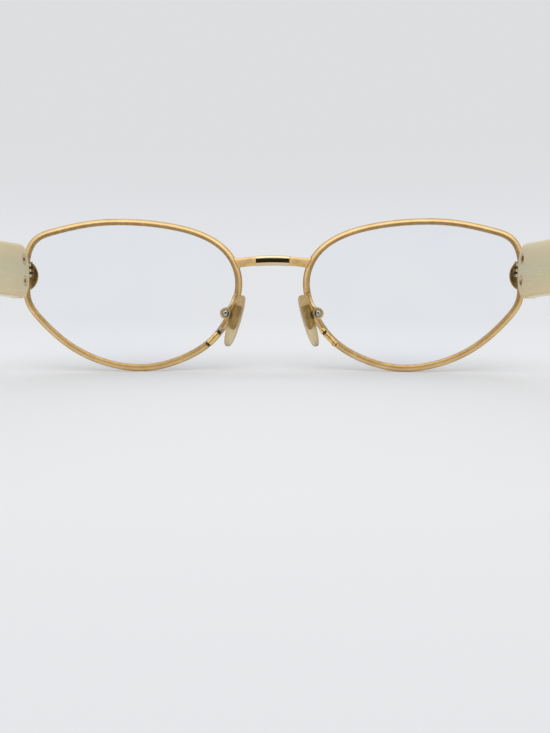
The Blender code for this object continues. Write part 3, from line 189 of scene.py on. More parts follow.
# Hinges, endpieces and discs
HINGE_INSET = 2.54 * MM
KNUCKLE_RADIUS = 1.05 * MM
KNUCKLE_HEIGHTS = (0.72 * MM, 0.54 * MM, 0.72 * MM, 0.54 * MM, 0.72 * MM)
KNUCKLE_GAP = 0.05 * MM
KNUCKLE_SWING_GAP = 0.10 * MM
FRONT_PLATE_THICKNESS = 1.0 * MM
FRONT_PLATE_HALF_DEPTH = 0.945 * MM
FRONT_WEB = (-0.79 * MM, 0.21 * MM)
WEB_START = 0.6 * MM
WEB_LAP = 0.5 * MM
LEAF_THICKNESS = 0.8 * MM
LEAF_LENGTH = 5.8 * MM
LEAF_SHOULDER = 2.5 * MM
LEAF_HEIGHT = 7.9 * MM
LEAF_INSET = 0.55 * MM
HINGE_SCREW_RADIUS = 0.42 * MM
HINGE_HEAD_RADIUS = 0.85 * MM
HINGE_HEAD_HEIGHT = 0.45 * MM
HINGE_SLOT_DEPTH = 0.22 * MM
HINGE_SLOT_HALF_WIDTH = 0.14 * MM
ENDPIECE_HEIGHT = 5.2 * MM
ENDPIECE_OUTER = 3.6 * MM
STOP_GAP = 0.15 * MM
DISC_RADIUS = 4.4 * MM
DISC_OUTWARD = 3.9 * MM
DISC_BELOW = 1.15 * MM
DISC_EDGE = 0.75 * MM
DISC_BORDER = 0.55 * MM
DISC_DOME = 0.9 * MM
DISC_HOLLOW = 0.25 * MM
DISC_FLOOR = 0.46 * MM
DISC_OLIVE_SPAN = (61.9 * MM, 63.9 * MM)

# Where the photograph was taken from, its view, and the studio
CAMERA_PLACE = (-3.5 * MM, 104.28 * MM, 22.3 * MM)
CAMERA_PITCH = math.radians(-7.36)
CAMERA_YAW = math.radians(0.98)
CAMERA_LENS = 30.45
KEY_PLACE = Vector((-0.04, 0.50, 0.60))
KEY_TARGET = Vector((0.0, -0.03, 0.01))
KEY_POWER = 0.7
FLAG_PLACE = (0.0, 0.135, 0.046)
BACKDROP = (0.775, 0.787, 0.808)

SIDES = ("left", "right")
ORIGIN = (0.0, 0.0, 0.0)


def joint_place(name):
    """Where a joint's axis is, in the frame."""
    joint = next(joint for joint in frame["joints"] if joint["name"] == name)
    return np.array(joint["pos_m"], dtype=float)


def packed_box(node):
    return [np.array(corner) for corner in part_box(node)]


HINGE = joint_place("left_temple_hinge")
PAD_PIVOT = joint_place("left_pad_pivot")


# Materials

class Nodes:
    """Short calls for the node tree of a material or a world."""

    def __init__(self, owner, coordinates="Object"):
        owner.use_nodes = True
        self.tree = owner.node_tree
        self.shader = self.tree.nodes.get("Principled BSDF")
        where = self.add("ShaderNodeTexCoord").outputs
        self.place, self.uv = where[coordinates], where["UV"]

    def put(self, socket, value):
        """Links an output to a socket, or gives it a number, a vector or a colour."""
        if isinstance(value, bpy.types.NodeSocket):
            self.tree.links.new(value, socket)
        else:
            socket.default_value = (*value, 1.0) if socket.type == "RGBA" else value

    def add(self, kind, inputs=(), **values):
        """A node with its inputs, by name or number, and its other settings."""
        node = self.tree.nodes.new(kind)
        for name, value in values.items():
            setattr(node, name, value)
        for key, value in dict(inputs).items():
            self.put(node.inputs[key], value)
        return node

    def scaled(self, scale, source=None):
        inputs = {"Vector": source or self.place, "Scale": scale}
        return self.add("ShaderNodeMapping", inputs).outputs["Vector"]

    def noise(self, scale, detail=3.0, roughness=0.5, source=None):
        inputs = {"Vector": source or self.place, "Scale": scale, "Detail": detail, "Roughness": roughness}
        return self.add("ShaderNodeTexNoise", inputs).outputs["Fac"]

    def ramp(self, source, *stops):
        """Colours by a value: stops are (place, colour), and a colour may be one number."""
        node = self.add("ShaderNodeValToRGB", {"Fac": source})
        while len(node.color_ramp.elements) < len(stops):
            node.color_ramp.elements.new(0.5)
        for element, (place, colour) in zip(node.color_ramp.elements, stops):
            element.position = place
            element.color = (colour,) * 3 + (1.0,) if isinstance(colour, float) else (*colour, 1.0)
        return node.outputs["Color"]

    def spread(self, source, low, high, out_low, out_high, **values):
        inputs = {"Value": source, "From Min": low, "From Max": high, "To Min": out_low, "To Max": out_high}
        return self.add("ShaderNodeMapRange", inputs, **values).outputs["Result"]

    def mix(self, share, first, second):
        """A mix of two colours, each an output or a constant."""
        return self.add("ShaderNodeMix", {0: share, 6: first, 7: second}, data_type="RGBA").outputs[2]

    def choose(self, share, first, second):
        """A mix of two nodes' shaders."""
        return self.add("ShaderNodeMixShader", {0: share, 1: first.outputs[0], 2: second.outputs[0]})

    def maths(self, operation, first, second=0.0):
        return self.add("ShaderNodeMath", {0: first, 1: second}, operation=operation).outputs["Value"]

    def axis(self, name, source=None):
        return self.add("ShaderNodeSeparateXYZ", {"Vector": source or self.place}).outputs[name]

    def bump(self, height, distance, strength):
        """Relief, with its distance in millimetres."""
        inputs = {"Height": height, "Distance": distance * MM, "Strength": strength}
        self.set(Normal=self.add("ShaderNodeBump", inputs).outputs["Normal"])

    def set(self, **values):
        """The shader's own sockets, by their names with spaces as underscores."""
        for name, value in values.items():
            self.put(self.shader.inputs[name.replace("_", " ")], value)


MATERIALS = {}
GOLD_LIGHT = (0.83, 0.58, 0.27)
GOLD_DEEP = (0.64, 0.41, 0.175)
EDGE_TINT = (0.62, 0.44, 0.24)


def material(name):
    """A new material, as its nodes."""
    MATERIALS[name] = bpy.data.materials.new(name)
    return Nodes(MATERIALS[name])


def plating(n):
    """Plated gold: deeper in tone where it was handled, with specks of tarnish. Its blotches come first."""
    blotch = n.noise(260.0, 3.0, 0.55)
    plated = n.ramp(blotch, (0.32, GOLD_DEEP), (0.68, GOLD_LIGHT))
    specks = n.spread(n.noise(3400.0, 2.0), 0.68, 0.80, 0.0, 0.7)
    return blotch, n.mix(specks, plated, (0.30, 0.165, 0.06))


def satin_gold(n):
    """Small plated pieces with a soft satin gloss, paler than the wire."""
    blotch, plated = plating(n)
    lightened = n.spread(n.noise(520.0, 4.0, 0.6), 0.35, 0.65, 0.15, 0.65)
    n.set(Base_Color=n.mix(lightened, plated, (0.98, 0.70, 0.34)),
          Roughness=n.spread(blotch, 0.3, 0.7, 0.42, 0.54), Metallic=1.0, Specular_Tint=EDGE_TINT)
    n.bump(n.noise(5000.0), 0.01, 0.35)


def rim_gold(n):
    """The rim wire: brushed lengthwise, painted highlight and wear on both crests, painted shade at its
    sides.
    """
    brushed = n.noise(40.0, 4.0, 0.7, n.scaled((10.0, 4.0, 1.0), n.uv))
    blotch, plated = plating(n)
    around = n.axis("Y", n.uv)
    # Painted shade, with some grime, along the lens edge of the section
    shade_and_grime = n.ramp(around, (0.0, 0.75), (0.06, 0.25), (0.14, 0.0), (0.74, 0.0), (0.80, 0.85), (0.97, 0.95),
                   (1.0, 0.75))
    patchy = n.maths("MULTIPLY", shade_and_grime, n.spread(n.noise(900.0, 3.0, 0.6), 0.3, 0.65, 0.6, 1.0))
    # Pale streaks on both crests: a painted highlight, and wear
    tone_line = n.ramp(around, (0.06, 0.0), (0.17, 0.75), (0.29, 0.0), (0.46, 0.0), (0.56, 0.75), (0.68, 0.0))
    pale = n.mix(n.maths("MULTIPLY", tone_line, brushed), plated, (0.96, 0.76, 0.42))
    # Painted shade along the outermost side of the wire
    side = n.ramp(around, (0.29, 0.0), (0.36, 0.42), (0.40, 0.42), (0.46, 0.0))
    rough = n.maths("ADD", n.spread(brushed, 0.3, 0.7, 0.31, 0.43), n.spread(blotch, 0.3, 0.7, 0.0, 0.06))
    n.set(Base_Color=n.mix(n.maths("MAXIMUM", patchy, side), pale, (0.34, 0.205, 0.08)), Roughness=rough,
          Metallic=1.0, Specular_Tint=EDGE_TINT)
    n.bump(brushed, 0.012, 0.35)


def polished_gold(n):
    """The same plating, buffed bright and paler, with fine hairlines and a slightly uneven surface."""
    hair = n.noise(700.0, 5.0, 0.6, n.scaled((0.25, 1.0, 2.4)))
    wave = n.noise(330.0, 2.0, 0.4, n.scaled((1.0, 1.0, 0.4)))
    n.set(Base_Color=n.ramp(hair, (0.35, (0.68, 0.54, 0.32)), (0.65, (0.76, 0.65, 0.43))),
          Roughness=n.spread(hair, 0.3, 0.75, 0.05, 0.12), Metallic=1.0, Specular_Tint=EDGE_TINT)
    n.bump(n.maths("ADD", n.maths("MULTIPLY", hair, 0.12), wave), 0.07, 0.5)


def disc_gold(n):
    """Disc fronts: bright plating with a soft gloss, worn paler in broad patches, and fine hairlines."""
    broad = n.noise(300.0, 3.0, 0.55)
    hair = n.noise(1500.0, 4.0, 0.6, n.scaled((1.0, 1.0, 0.12)))
    tone = n.ramp(broad, (0.34, (0.70, 0.46, 0.17)), (0.68, (0.86, 0.62, 0.28)))
    rough = n.maths("ADD", n.spread(broad, 0.3, 0.7, 0.20, 0.28), n.spread(hair, 0.5, 0.8, 0.0, 0.12))
    n.set(Base_Color=n.mix(n.spread(hair, 0.55, 0.75, 0.0, 0.5), tone, (0.94, 0.76, 0.45)), Roughness=rough,
          Metallic=1.0, Specular_Tint=EDGE_TINT)
    n.bump(hair, 0.012, 0.4)


def dark_back(n):
    """Dark brown with fine grain, lighter olive toward the temple. It is painted shade on the discs' backs
    and on parts of the front hinge leaves, and it also darkens the rivets' sunk middles.
    """
    grain = n.noise(1500.0, 4.0, 0.65)
    tone = n.ramp(n.noise(420.0, 2.0), (0.30, (0.125, 0.072, 0.015)), (0.52, (0.23, 0.145, 0.036)),
                  (0.72, (0.36, 0.24, 0.075)))
    side = n.spread(n.maths("ABSOLUTE", n.axis("X")), *DISC_OLIVE_SPAN, 0.0, 0.95)
    lightened = n.mix(n.maths("MULTIPLY", side, n.spread(grain, 0.25, 0.6, 0.55, 1.0)), tone, (0.66, 0.49, 0.20))
    n.set(Base_Color=n.mix(n.spread(grain, 0.60, 0.72, 0.0, 0.6), lightened, (0.62, 0.44, 0.17)),
          Roughness=n.spread(grain, 0.3, 0.7, 0.42, 0.62), Metallic=0.7)
    n.bump(grain, 0.05, 0.6)


def ivory(n):
    """Cream acetate: long pale veins, a pinkish cast above and below and a greener one between."""
    along = n.scaled((1.0, 0.16, 1.0))
    veins = n.noise(190.0, 4.0, 0.55, along)
    cloud = n.noise(60.0, 2.0, 0.5, along)
    scratches = n.noise(2600.0, 3.0, 0.65, n.scaled((1.0, 0.035, 1.0)))
    height = n.maths("ADD", n.axis("Z"), n.spread(cloud, 0.0, 1.0, -6.0 * MM, 6.0 * MM))
    base = n.ramp(n.spread(height, HINGE[2] - 7.0 * MM, HINGE[2] + 6.4 * MM, 0.0, 1.0),
                  (0.0, (0.76, 0.62, 0.335)), (0.28, (0.69, 0.60, 0.35)), (0.5, (0.645, 0.595, 0.36)),
                  (0.75, (0.70, 0.61, 0.37)), (0.93, (0.77, 0.64, 0.385)), (1.0, (0.82, 0.72, 0.48)))
    rough = n.maths("ADD", n.spread(cloud, 0.3, 0.7, 0.24, 0.36), n.spread(scratches, 0.60, 0.72, 0.0, 0.14))
    n.set(Base_Color=n.mix(n.spread(veins, 0.42, 0.72, 0.0, 0.3), base, (0.80, 0.74, 0.55)), Roughness=rough,
          Subsurface_Weight=0.12, Subsurface_Scale=1.5 * MM, Subsurface_Radius=(1.0, 0.8, 0.5), IOR=1.49)
    n.bump(n.maths("ADD", n.noise(1400.0), n.maths("MULTIPLY", scratches, 0.8)), 0.01, 0.25)


def clear_lens(n):
    """Clear plastic with the faintest bluish cast, and slight smears in its gloss."""
    smear = n.noise(90.0)
    n.set(Base_Color=n.ramp(smear, (0.3, (0.965, 0.975, 1.0)), (0.7, (0.985, 0.99, 1.0))),
          Roughness=n.spread(smear, 0.55, 0.8, 0.0, 0.02), Transmission_Weight=1.0, IOR=1.12)


def aged_pad(n):
    """Translucent pad: olive toward its box, pale toward the nose, golden above and grey at its tip."""
    cloud = n.noise(240.0, 2.0)
    along = n.axis("X", n.uv)
    around = n.maths("ADD", n.axis("Y", n.uv), n.spread(cloud, 0.0, 1.0, -0.03, 0.03))
    tone = n.ramp(around, (0.0, (0.75, 0.60, 0.28)), (0.10, (0.81, 0.67, 0.39)), (0.22, (0.92, 0.80, 0.61)),
                  (0.30, (0.95, 0.90, 0.80)), (0.42, (0.84, 0.72, 0.47)), (0.60, (0.74, 0.585, 0.26)),
                  (1.0, (0.75, 0.60, 0.28)))
    gilt = n.maths("MULTIPLY", n.spread(along, 0.22, 0.46, 0.8, 0.0),
                   n.ramp(around, (0.08, 1.0), (0.26, 0.25), (0.34, 0.25), (0.50, 1.0)))
    tone = n.mix(gilt, tone, (0.70, 0.44, 0.14))
    n.set(Base_Color=n.mix(n.spread(along, 0.86, 0.93, 0.0, 0.85), tone, (0.36, 0.34, 0.31)),
          Roughness=n.spread(cloud, 0.3, 0.7, 0.34, 0.44), Transmission_Weight=0.97, IOR=1.33)
    n.bump(n.noise(160.0, 2.0), 0.01, 0.15)


def worn_metal(name, scale, tones, gloss, relief, detail=3.0, stretch=1.0, grit=None, Metallic=1.0, **values):
    """Metal whose tone, gloss and relief follow one noise, stretched upward for streaks. The relief is
    (millimetres, strength), and follows a noise of its own where a grit is given."""
    n = material(name)
    wear = n.noise(scale, detail, 0.6, n.scaled((1.0, 1.0, stretch)))
    n.set(Base_Color=n.ramp(wear, *tones), Roughness=n.spread(wear, 0.3, 0.7, *gloss), Metallic=Metallic,
          **values)
    n.bump(n.noise(grit) if grit else wear, *relief)


for make in (satin_gold, rim_gold, polished_gold, disc_gold, dark_back, ivory, clear_lens, aged_pad):
    make(material(make.__name__))

# The turned lock barrels: bright plating worn to a deeper tone in patches
worn_metal("barrel_gold", 900.0,
           ((0.30, (0.50, 0.30, 0.11)), (0.45, (0.84, 0.57, 0.20)), (0.7, (0.98, 0.77, 0.36))),
           (0.24, 0.13), (0.01, 0.3), detail=4.0)
# Pad boxes, arms and front hinge leaves: thin plating rubbed pale, with brown left in the low spots
worn_metal("pale_gold", 760.0,
           ((0.30, (0.44, 0.30, 0.13)), (0.46, (0.74, 0.57, 0.30)), (0.68, (0.88, 0.73, 0.44))),
           (0.42, 0.27), (0.01, 0.35), detail=4.0, grit=4200.0, Specular_Tint=EDGE_TINT)
# Painted shade: near-black metal in the locks' rings and left screw, round the pad screws, on the inserts and
# knuckles
worn_metal("shadow_metal", 1800.0,
           ((0.35, (0.035, 0.024, 0.012)), (0.55, (0.10, 0.07, 0.035)), (0.75, (0.24, 0.17, 0.08))),
           (0.45, 0.65), (0.02, 0.4), Metallic=0.7, Specular_IOR_Level=0.15)
# Pad screws and inner wires: plated steel with a warm cast and fine turning marks
worn_metal("pale_steel", 2600.0, ((0.35, (0.46, 0.40, 0.31)), (0.65, (0.70, 0.64, 0.53))),
           (0.16, 0.28), (0.01, 0.3))
# The stub above a lock and the hinge screws: steel with a brown bloom
worn_metal("bronze_steel", 1500.0, ((0.35, (0.26, 0.19, 0.12)), (0.65, (0.56, 0.48, 0.37))),
           (0.24, 0.4), (0.015, 0.4))
# Rivet heads polished flush with the acetate: a dull pinkish tan
worn_metal("rivet_tan", 1300.0, ((0.3, (0.58, 0.42, 0.24)), (0.7, (0.74, 0.60, 0.39))),
           (0.34, 0.5), (0.02, 0.4), Metallic=0.35)
# The insert seen through a pad: golden brown, drawn along its length in darker streaks
worn_metal("core_metal", 900.0, ((0.35, (0.38, 0.26, 0.07)), (0.66, (0.78, 0.59, 0.24))),
           (0.5, 0.65), (0.03, 0.5), stretch=0.18, Metallic=0.75)


# Mesh building

def circle(count):
    """Angles evenly round a full turn."""
    return np.linspace(0.0, 2.0 * math.pi, count, endpoint=False)


def unit(vectors):
    """One vector, or each row of several, at length 1."""
    return vectors / np.linalg.norm(vectors, axis=-1, keepdims=True)


def outward(shape):
    bmesh.ops.recalc_face_normals(shape, faces=shape.faces)


def loft(rings, dark=(), closed=False, strips=False):
    """A skin through rings of points, with UVs along and around it. An end ring of one point closes it
    there. Otherwise its ends are joined if it is closed, and flat or made of strips across if not.
    The bands numbered in dark take the second material."""
    shape = bmesh.new()
    rows = [[shape.verts.new(point) for point in points] for points in rings]
    count = max(len(row) for row in rows)
    for row in () if closed else (rows[0][::-1], rows[-1]):
        if strips:
            for i in range(count // 2 - 1):
                shape.faces.new((row[i], row[i + 1], row[-2 - i], row[-1 - i]))
        elif len(row) > 1:
            shape.faces.new(row)
    rows = [row if len(row) > 1 else row * count for row in rows + rows[:closed]]
    uv = shape.loops.layers.uv.verify()
    for step, (near, far) in enumerate(zip(rows, rows[1:])):
        for i in range(count):
            j = (i + 1) % count
            corners = {near[i]: (step, i), near[j]: (step, i + 1),
                       far[j]: (step + 1, i + 1), far[i]: (step + 1, i)}
            face = shape.faces.new(list(corners))
            face.material_index = int(step in dark)
            for loop, (along, around) in zip(face.loops, corners.values()):
                loop[uv].uv = (along / (len(rows) - 1), around / count)
    return shape


def ring(middle, radius, across, over, sides):
    """Points on a circle, or on an ellipse where the two directions differ in length."""
    return [middle + radius * (across * math.cos(a) + over * math.sin(a)) for a in circle(sides)]


def turned(profile, centre=ORIGIN, axis=(0, 1, 0), across=(1, 0, 0), sides=48, dark=()):
    """A solid turned about an axis from (radius, distance) pairs. The profile starts and ends on the
    axis, or is a closed loop that stays off it."""
    centre, axis, across = (np.array(v, dtype=float) for v in (centre, axis, across))
    rings = [[centre + axis * along] if radius < 1e-9
             else ring(centre + axis * along, radius, across, np.cross(axis, across), sides)
             for radius, along in profile]
    return loft(rings, dark, closed=profile[0][0] > 0.0)


def rounded(profile, radius, steps=4, closed=False):
    """A polyline with its inner corners turned into arcs, and with its end corners too if it is closed."""
    points = [np.array(point, dtype=float) for point in profile]
    made = []
    for i, point in enumerate(points):
        if not closed and i in (0, len(points) - 1):
            made.append(tuple(point))
            continue
        before, after = points[i - 1] - point, points[(i + 1) % len(points)] - point
        reach = min(radius, 0.45 * np.linalg.norm(before), 0.45 * np.linalg.norm(after))
        start, stop = point + unit(before) * reach, point + unit(after) * reach
        for share in np.linspace(0.0, 1.0, steps + 1):
            made.append(tuple((1 - share) ** 2 * start + 2 * share * (1 - share) * point + share ** 2 * stop))
    return made


def prism(outline, axis, low, high):
    """An outline extruded along a world axis."""
    return loft([[np.insert(np.array(point, dtype=float), axis, level) for point in outline]
                 for level in (low, high)])


def block(low, high):
    (x0, y0, z0), (x1, y1, z1) = low, high
    return prism(((x0, y0), (x1, y0), (x1, y1), (x0, y1)), 2, z0, z1)


def bevelled(shape, width, segments=3):
    """Rounds the sharp outward edges of a shape."""
    outward(shape)
    sharp = [edge for edge in shape.edges
             if edge.is_manifold and edge.is_convex and edge.calc_face_angle() > math.radians(35.0)]
    bmesh.ops.bevel(shape, geom=sharp, offset=width, segments=segments, profile=0.5,
                    affect="EDGES", clamp_overlap=True)
    return shape


def darken(shape, test):
    """Gives the second material to the faces whose centre and normal pass the test."""
    outward(shape)
    for face in shape.faces:
        if test(face.calc_center_median(), face.normal):
            face.material_index = 1


def new_object(name, shape):
    """An object in the scene with a shape's mesh. The shape is used up."""
    mesh = bpy.data.meshes.new(name)
    shape.to_mesh(mesh)
    shape.free()
    made = bpy.data.objects.new(name, mesh)
    bpy.context.scene.collection.objects.link(made)
    return made


def joined(first, second, operation):
    """The Boolean of two shapes, as a new shape."""
    outward(first)
    outward(second)
    pair = [new_object("boolean", shape) for shape in (first, second)]
    change = pair[0].modifiers.new("boolean", "BOOLEAN")
    change.operation, change.solver, change.object = operation, "EXACT", pair[1]
    bpy.context.view_layer.update()
    result = bmesh.new()
    result.from_mesh(pair[0].evaluated_get(bpy.context.evaluated_depsgraph_get()).to_mesh())
    for made in pair:
        mesh = made.data
        bpy.data.objects.remove(made)
        bpy.data.meshes.remove(mesh)
    return result


def new_piece(name, node, shape, sharp, finishes, place=ORIGIN, body="front", sign=1.0):
    """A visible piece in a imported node's stead, from a shape made for the left side about its place."""
    for vertex in shape.verts:
        point = vertex.co + Vector(place)
        vertex.co = (sign * point.x, point.y, point.z)
    outward(shape)
    piece = new_object(name, shape)
    for finish in finishes:
        piece.data.materials.append(MATERIALS[finish])
    piece.data.shade_smooth()
    piece.data.set_sharp_from_angle(angle=math.radians(sharp))
    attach(piece, body)
    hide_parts(node)
    return piece


def side_piece(side, node, shape, slot, sharp, *finishes, label=None, place=ORIGIN, body="front"):
    """A piece of one side, mirrored for the right one."""
    return new_piece(f"{side}_fine_{label or node}", f"{side}_{node}", shape, sharp, finishes, place,
                     body, 1.0 if side == "left" else -1.0)


# Rims, lenses, locks and bridge

def smooth_loop(points, count, fine=24):
    """Evenly spaced points on the smooth closed curve through the given points."""
    points = np.array(points, dtype=float)
    after = np.roll(points, -1, axis=0)
    step = np.linalg.norm(after - points, axis=1)
    before = np.roll(step, 1)
    slope = (after - points) / step[:, None]
    size = len(points)
    system = np.diag(2.0 * (step + before))
    for i in range(size):
        system[i, (i + 1) % size] += step[i]
        system[i, i - 1] += before[i]
    bend = np.linalg.solve(system, 6.0 * (slope - np.roll(slope, 1, axis=0)))
    rows = []
    for share in np.linspace(0.0, 1.0, fine, endpoint=False):
        rest = 1.0 - share
        curved = (rest ** 3 - rest) * bend + (share ** 3 - share) * np.roll(bend, -1, axis=0)
        rows.append(rest * points + share * after + curved * (step ** 2 / 6.0)[:, None])
    dense = np.stack(rows, axis=1).reshape(-1, 2)
    path = np.vstack((dense, dense[:1]))
    run = np.concatenate(([0.0], np.cumsum(np.linalg.norm(np.diff(path, axis=0), axis=1))))
    wanted = np.linspace(0.0, run[-1], count + 1)[:-1]
    return np.stack([np.interp(wanted, run, column) for column in path.T], axis=1)


def on_sphere(flat):
    """Points (x, y, z) on the base sphere in front of flat ones."""
    x, z = flat[:, 0], flat[:, 1]
    return np.stack((x, BASE_RADIUS - np.sqrt(BASE_RADIUS ** 2 - x ** 2 - z ** 2), z), axis=1)


def sphere_back(points):
    """Directions from points on the base sphere toward its centre."""
    return unit(np.array((0.0, BASE_RADIUS, 0.0)) - points)


class Rim:
    """The wire's centre line with its directions, in the lens's own axes, and its place in the frame."""

    COUNT = 2400

    def __init__(self):
        half = np.array((LENS_WIDTH, LENS_HEIGHT)) / 2.0
        loop = smooth_loop(np.array(LENS_SHAPE) * half, self.COUNT)
        lowest, highest = loop.min(axis=0), loop.max(axis=0)
        self.flat = (loop - (lowest + highest) / 2.0) * 2.0 * half / (highest - lowest)
        self.points = on_sphere(self.flat)
        self.along = unit(np.roll(self.points, -1, axis=0) - np.roll(self.points, 1, axis=0))
        self.back = sphere_back(self.points)
        self.out = np.cross(self.back, self.along)
        self.step = np.linalg.norm(self.points[1] - self.points[0])
        self.rotation = np.array(Matrix.Rotation(WRAP, 3, "Z") @ Matrix.Rotation(TILT, 3, "X"))
        wire = np.array([self.offset(i, out, back) for i in range(0, self.COUNT, 8)
                         for out, back in wire_profile(5)]) @ self.rotation.T
        self.origin = (sum(packed_box("left_rim")) - wire.min(axis=0) - wire.max(axis=0)) / 2.0

    def index(self, angle):
        turn = np.angle(np.exp(1j * (np.arctan2(self.flat[:, 1], self.flat[:, 0]) - angle)))
        return int(np.argmin(np.abs(turn)))

    def offset(self, index, out, back):
        i = index % self.COUNT
        return self.points[i] + self.out[i] * out + self.back[i] * back

    def world(self, local):
        return np.array(local) @ self.rotation.T + self.origin

    def direction(self, local):
        return self.rotation @ np.array(local)


def wire_profile(steps):
    """Section of the rim wire as (outward, backward): a rounded back with a groove for the lens."""
    half_depth = WIRE_DEPTH / 2.0
    inner = -WIRE_WIDTH / 2.0
    shoulder = 0.15 * WIRE_WIDTH
    outer = [(-shoulder + (WIRE_WIDTH / 2.0 + shoulder) * math.cos(turn), half_depth * math.sin(turn))
             for turn in np.linspace(math.pi / 2.0, -math.pi / 2.0, steps + 1)]
    lip = half_depth * 0.92
    return outer + [(inner, -lip), (inner, -GROOVE_HALF_WIDTH), (inner + GROOVE_DEPTH, 0.0),
                    (inner, GROOVE_HALF_WIDTH), (inner, lip)]


RIM = Rim()
LOCK_INDEX = RIM.index(LOCK_ANGLE)


def make_rim(side):
    """The wire from one side of its split round to the other."""
    gap = LOCK_SPLIT / 2.0 / RIM.step
    section = rounded(wire_profile(16), 0.12 * MM, 3, closed=True)
    rings = [[RIM.world(RIM.offset(LOCK_INDEX + int(round(place)), out, back)) for out, back in section]
             for place in np.linspace(gap, RIM.COUNT - gap, RIM_STATIONS + 1)]
    side_piece(side, "rim", loft(rings), "satin_gold", 30.0, "rim_gold")


def make_lens(side):
    """Both faces on the base curve, and the bevel that sits in the groove."""
    half = LENS_THICKNESS / 2.0
    edge = -WIRE_WIDTH / 2.0 - LENS_CLEARANCE
    tip = -WIRE_WIDTH / 2.0 + GROOVE_DEPTH - LENS_TIP_CLEARANCE
    bevel = GROOVE_HALF_WIDTH - 2.0 * LENS_CLEARANCE
    places = [int(round(place)) for place in np.linspace(0, RIM.COUNT, 160, endpoint=False)]
    border = np.array([RIM.offset(place, edge, 0.0) for place in places])[:, (0, 2)]

    def face(depth):
        """Rings of one face from near its middle out to near its edge."""
        for share in np.linspace(0.0, 1.0, 25)[1:-1]:
            lifted = on_sphere(border * share)
            yield RIM.world(lifted + sphere_back(lifted) * depth)

    rims = [[RIM.world(RIM.offset(place, out, back)) for place in places]
            for out, back in ((edge, -half), (edge, -bevel), (tip, 0.0), (edge, bevel), (edge, half))]
    rings = [[RIM.world((0.0, -half, 0.0))], *face(-half), *rims, *list(face(half))[::-1],
             [RIM.world((0.0, half, 0.0))]]
    lens = side_piece(side, "lens", loft(rings), "clear_lens", 25.0, "clear_lens")
    lens.visible_shadow = False


def make_lock(side):
    """The split barrel on the back of the rim, with its sunk rings and ends painted dark as shade, and the
    screw along it.
    """
    middle = (LOCK_INDEX + int(round(LOCK_LOWER_LENGTH / 2.0 / RIM.step))) % RIM.COUNT
    along, out, back = RIM.along[middle], RIM.out[middle], RIM.back[middle]
    centre = RIM.points[middle] + back * (WIRE_DEPTH / 2.0 + LOCK_RADIUS + SOLDER_GAP)
    centre = centre + out * LOCK_OUTWARD[side]
    centre = centre + along * ((RIM.points[LOCK_INDEX] - centre) @ along)
    about = {"centre": RIM.world(centre), "axis": RIM.direction(along), "across": RIM.direction(out)}
    half, radius, band = LOCK_SPLIT / 2.0, LOCK_RADIUS, LOCK_RING[side]
    sunk = radius - LOCK_RING_DEPTH
    low_end = half + LOCK_LOWER_LENGTH
    top_end = -half - LOCK_UPPER_LENGTH
    lower = ((0.0, LOCK_RELIEF - half), (sunk, LOCK_RELIEF - half), (sunk, half + band),
             (radius, half + band + LOCK_BEVEL), (radius, low_end - band),
             (sunk, low_end - band + LOCK_BEVEL), (sunk, low_end), (0.0, low_end))
    upper = ((0.0, -half), (sunk, -half), (sunk, -half - LOCK_UPPER_RING),
             (radius, -half - LOCK_UPPER_RING - LOCK_UPPER_BEVEL), (radius, top_end + LOCK_UPPER_CHAMFER),
             (radius - LOCK_UPPER_CHAMFER, top_end), (0.0, top_end))
    for label, profile, dark in (("lower", lower, (0, 1, 2, 4, 5, 6)), ("upper", upper, (0, 1, 2))):
        finish = "bronze_steel" if (label, side) == ("upper", "left") else "barrel_gold"
        side_piece(side, f"rim_lock_{label}", turned(profile, dark=dark, **about), "polished_gold", 30.0,
                   finish, "shadow_metal", label=f"lock_{label}")
    start, head = low_end - LOCK_SCREW_LAP, low_end + SOLDER_GAP
    top = head + LOCK_HEAD_HEIGHT
    profile = rounded(((0.0, start), (LOCK_NECK_RADIUS, start), (LOCK_NECK_RADIUS, head),
                       (LOCK_HEAD_RADIUS, head), (LOCK_HEAD_RADIUS, top), (0.0, top)), 0.1 * MM)
    # On the left the screw is painted dark as shade
    side_piece(side, "rim_lock_screw", turned(profile, **about), "steel", 40.0,
               "shadow_metal" if side == "left" else "barrel_gold", label="lock_screw")


def make_bridge():
    """A flat-backed bar from rim to rim, satin at its ends and polished between, soldered on in fillets."""
    index = RIM.index(BRIDGE_ANGLE)
    joint = RIM.world(RIM.offset(index, WIRE_WIDTH / 2.0 + SOLDER_GAP, 0.0))
    normal = RIM.direction(RIM.out[index])
    reach = joint[0]
    polished = BRIDGE_POLISHED_LENGTH / 2.0
    flared = reach - BRIDGE_FILLET
    half = np.concatenate((np.linspace(0.0, polished, 21), np.linspace(polished + BRIDGE_STEP, flared, 14),
                           np.linspace(flared, reach + BRIDGE_OVERRUN, 14)[1:]))
    places = np.concatenate((-half[:0:-1], half))
    rings = []
    for place in places:
        swell = BRIDGE_SWELL if abs(place) <= polished else 0.0
        near = min(1.0, max(0.0, (abs(place) - flared) / (BRIDGE_FILLET + BRIDGE_OVERRUN)))
        crown = 1.0 - (place / reach) ** 2
        centre = np.array((place, joint[1] - BRIDGE_BOW * crown, joint[2] + BRIDGE_ARCH * crown))
        points = []
        for turn in circle(64):
            cos, sin = math.cos(turn), math.sin(turn)
            deep = (BRIDGE_DEPTH / 2.0 + 0.6 * swell) * math.copysign(abs(cos) ** 0.40, cos)
            tall = BRIDGE_HEIGHT / 2.0 + swell + BRIDGE_FLARE * near ** 2
            tall *= math.copysign(abs(sin) ** 0.75, sin)
            slide = near * (normal[1] * deep + normal[2] * tall) / normal[0]
            points.append(centre + np.array((-slide * math.copysign(1.0, place), deep, tall)))
        rings.append(points)
    bright = [number for number, ends in enumerate(zip(places, places[1:]))
              if abs(sum(ends)) / 2.0 < polished]
    new_piece("fine_bridge", "bridge", loft(rings, bright), 30.0,
              ("satin_gold", "polished_gold"))


# Nose pads

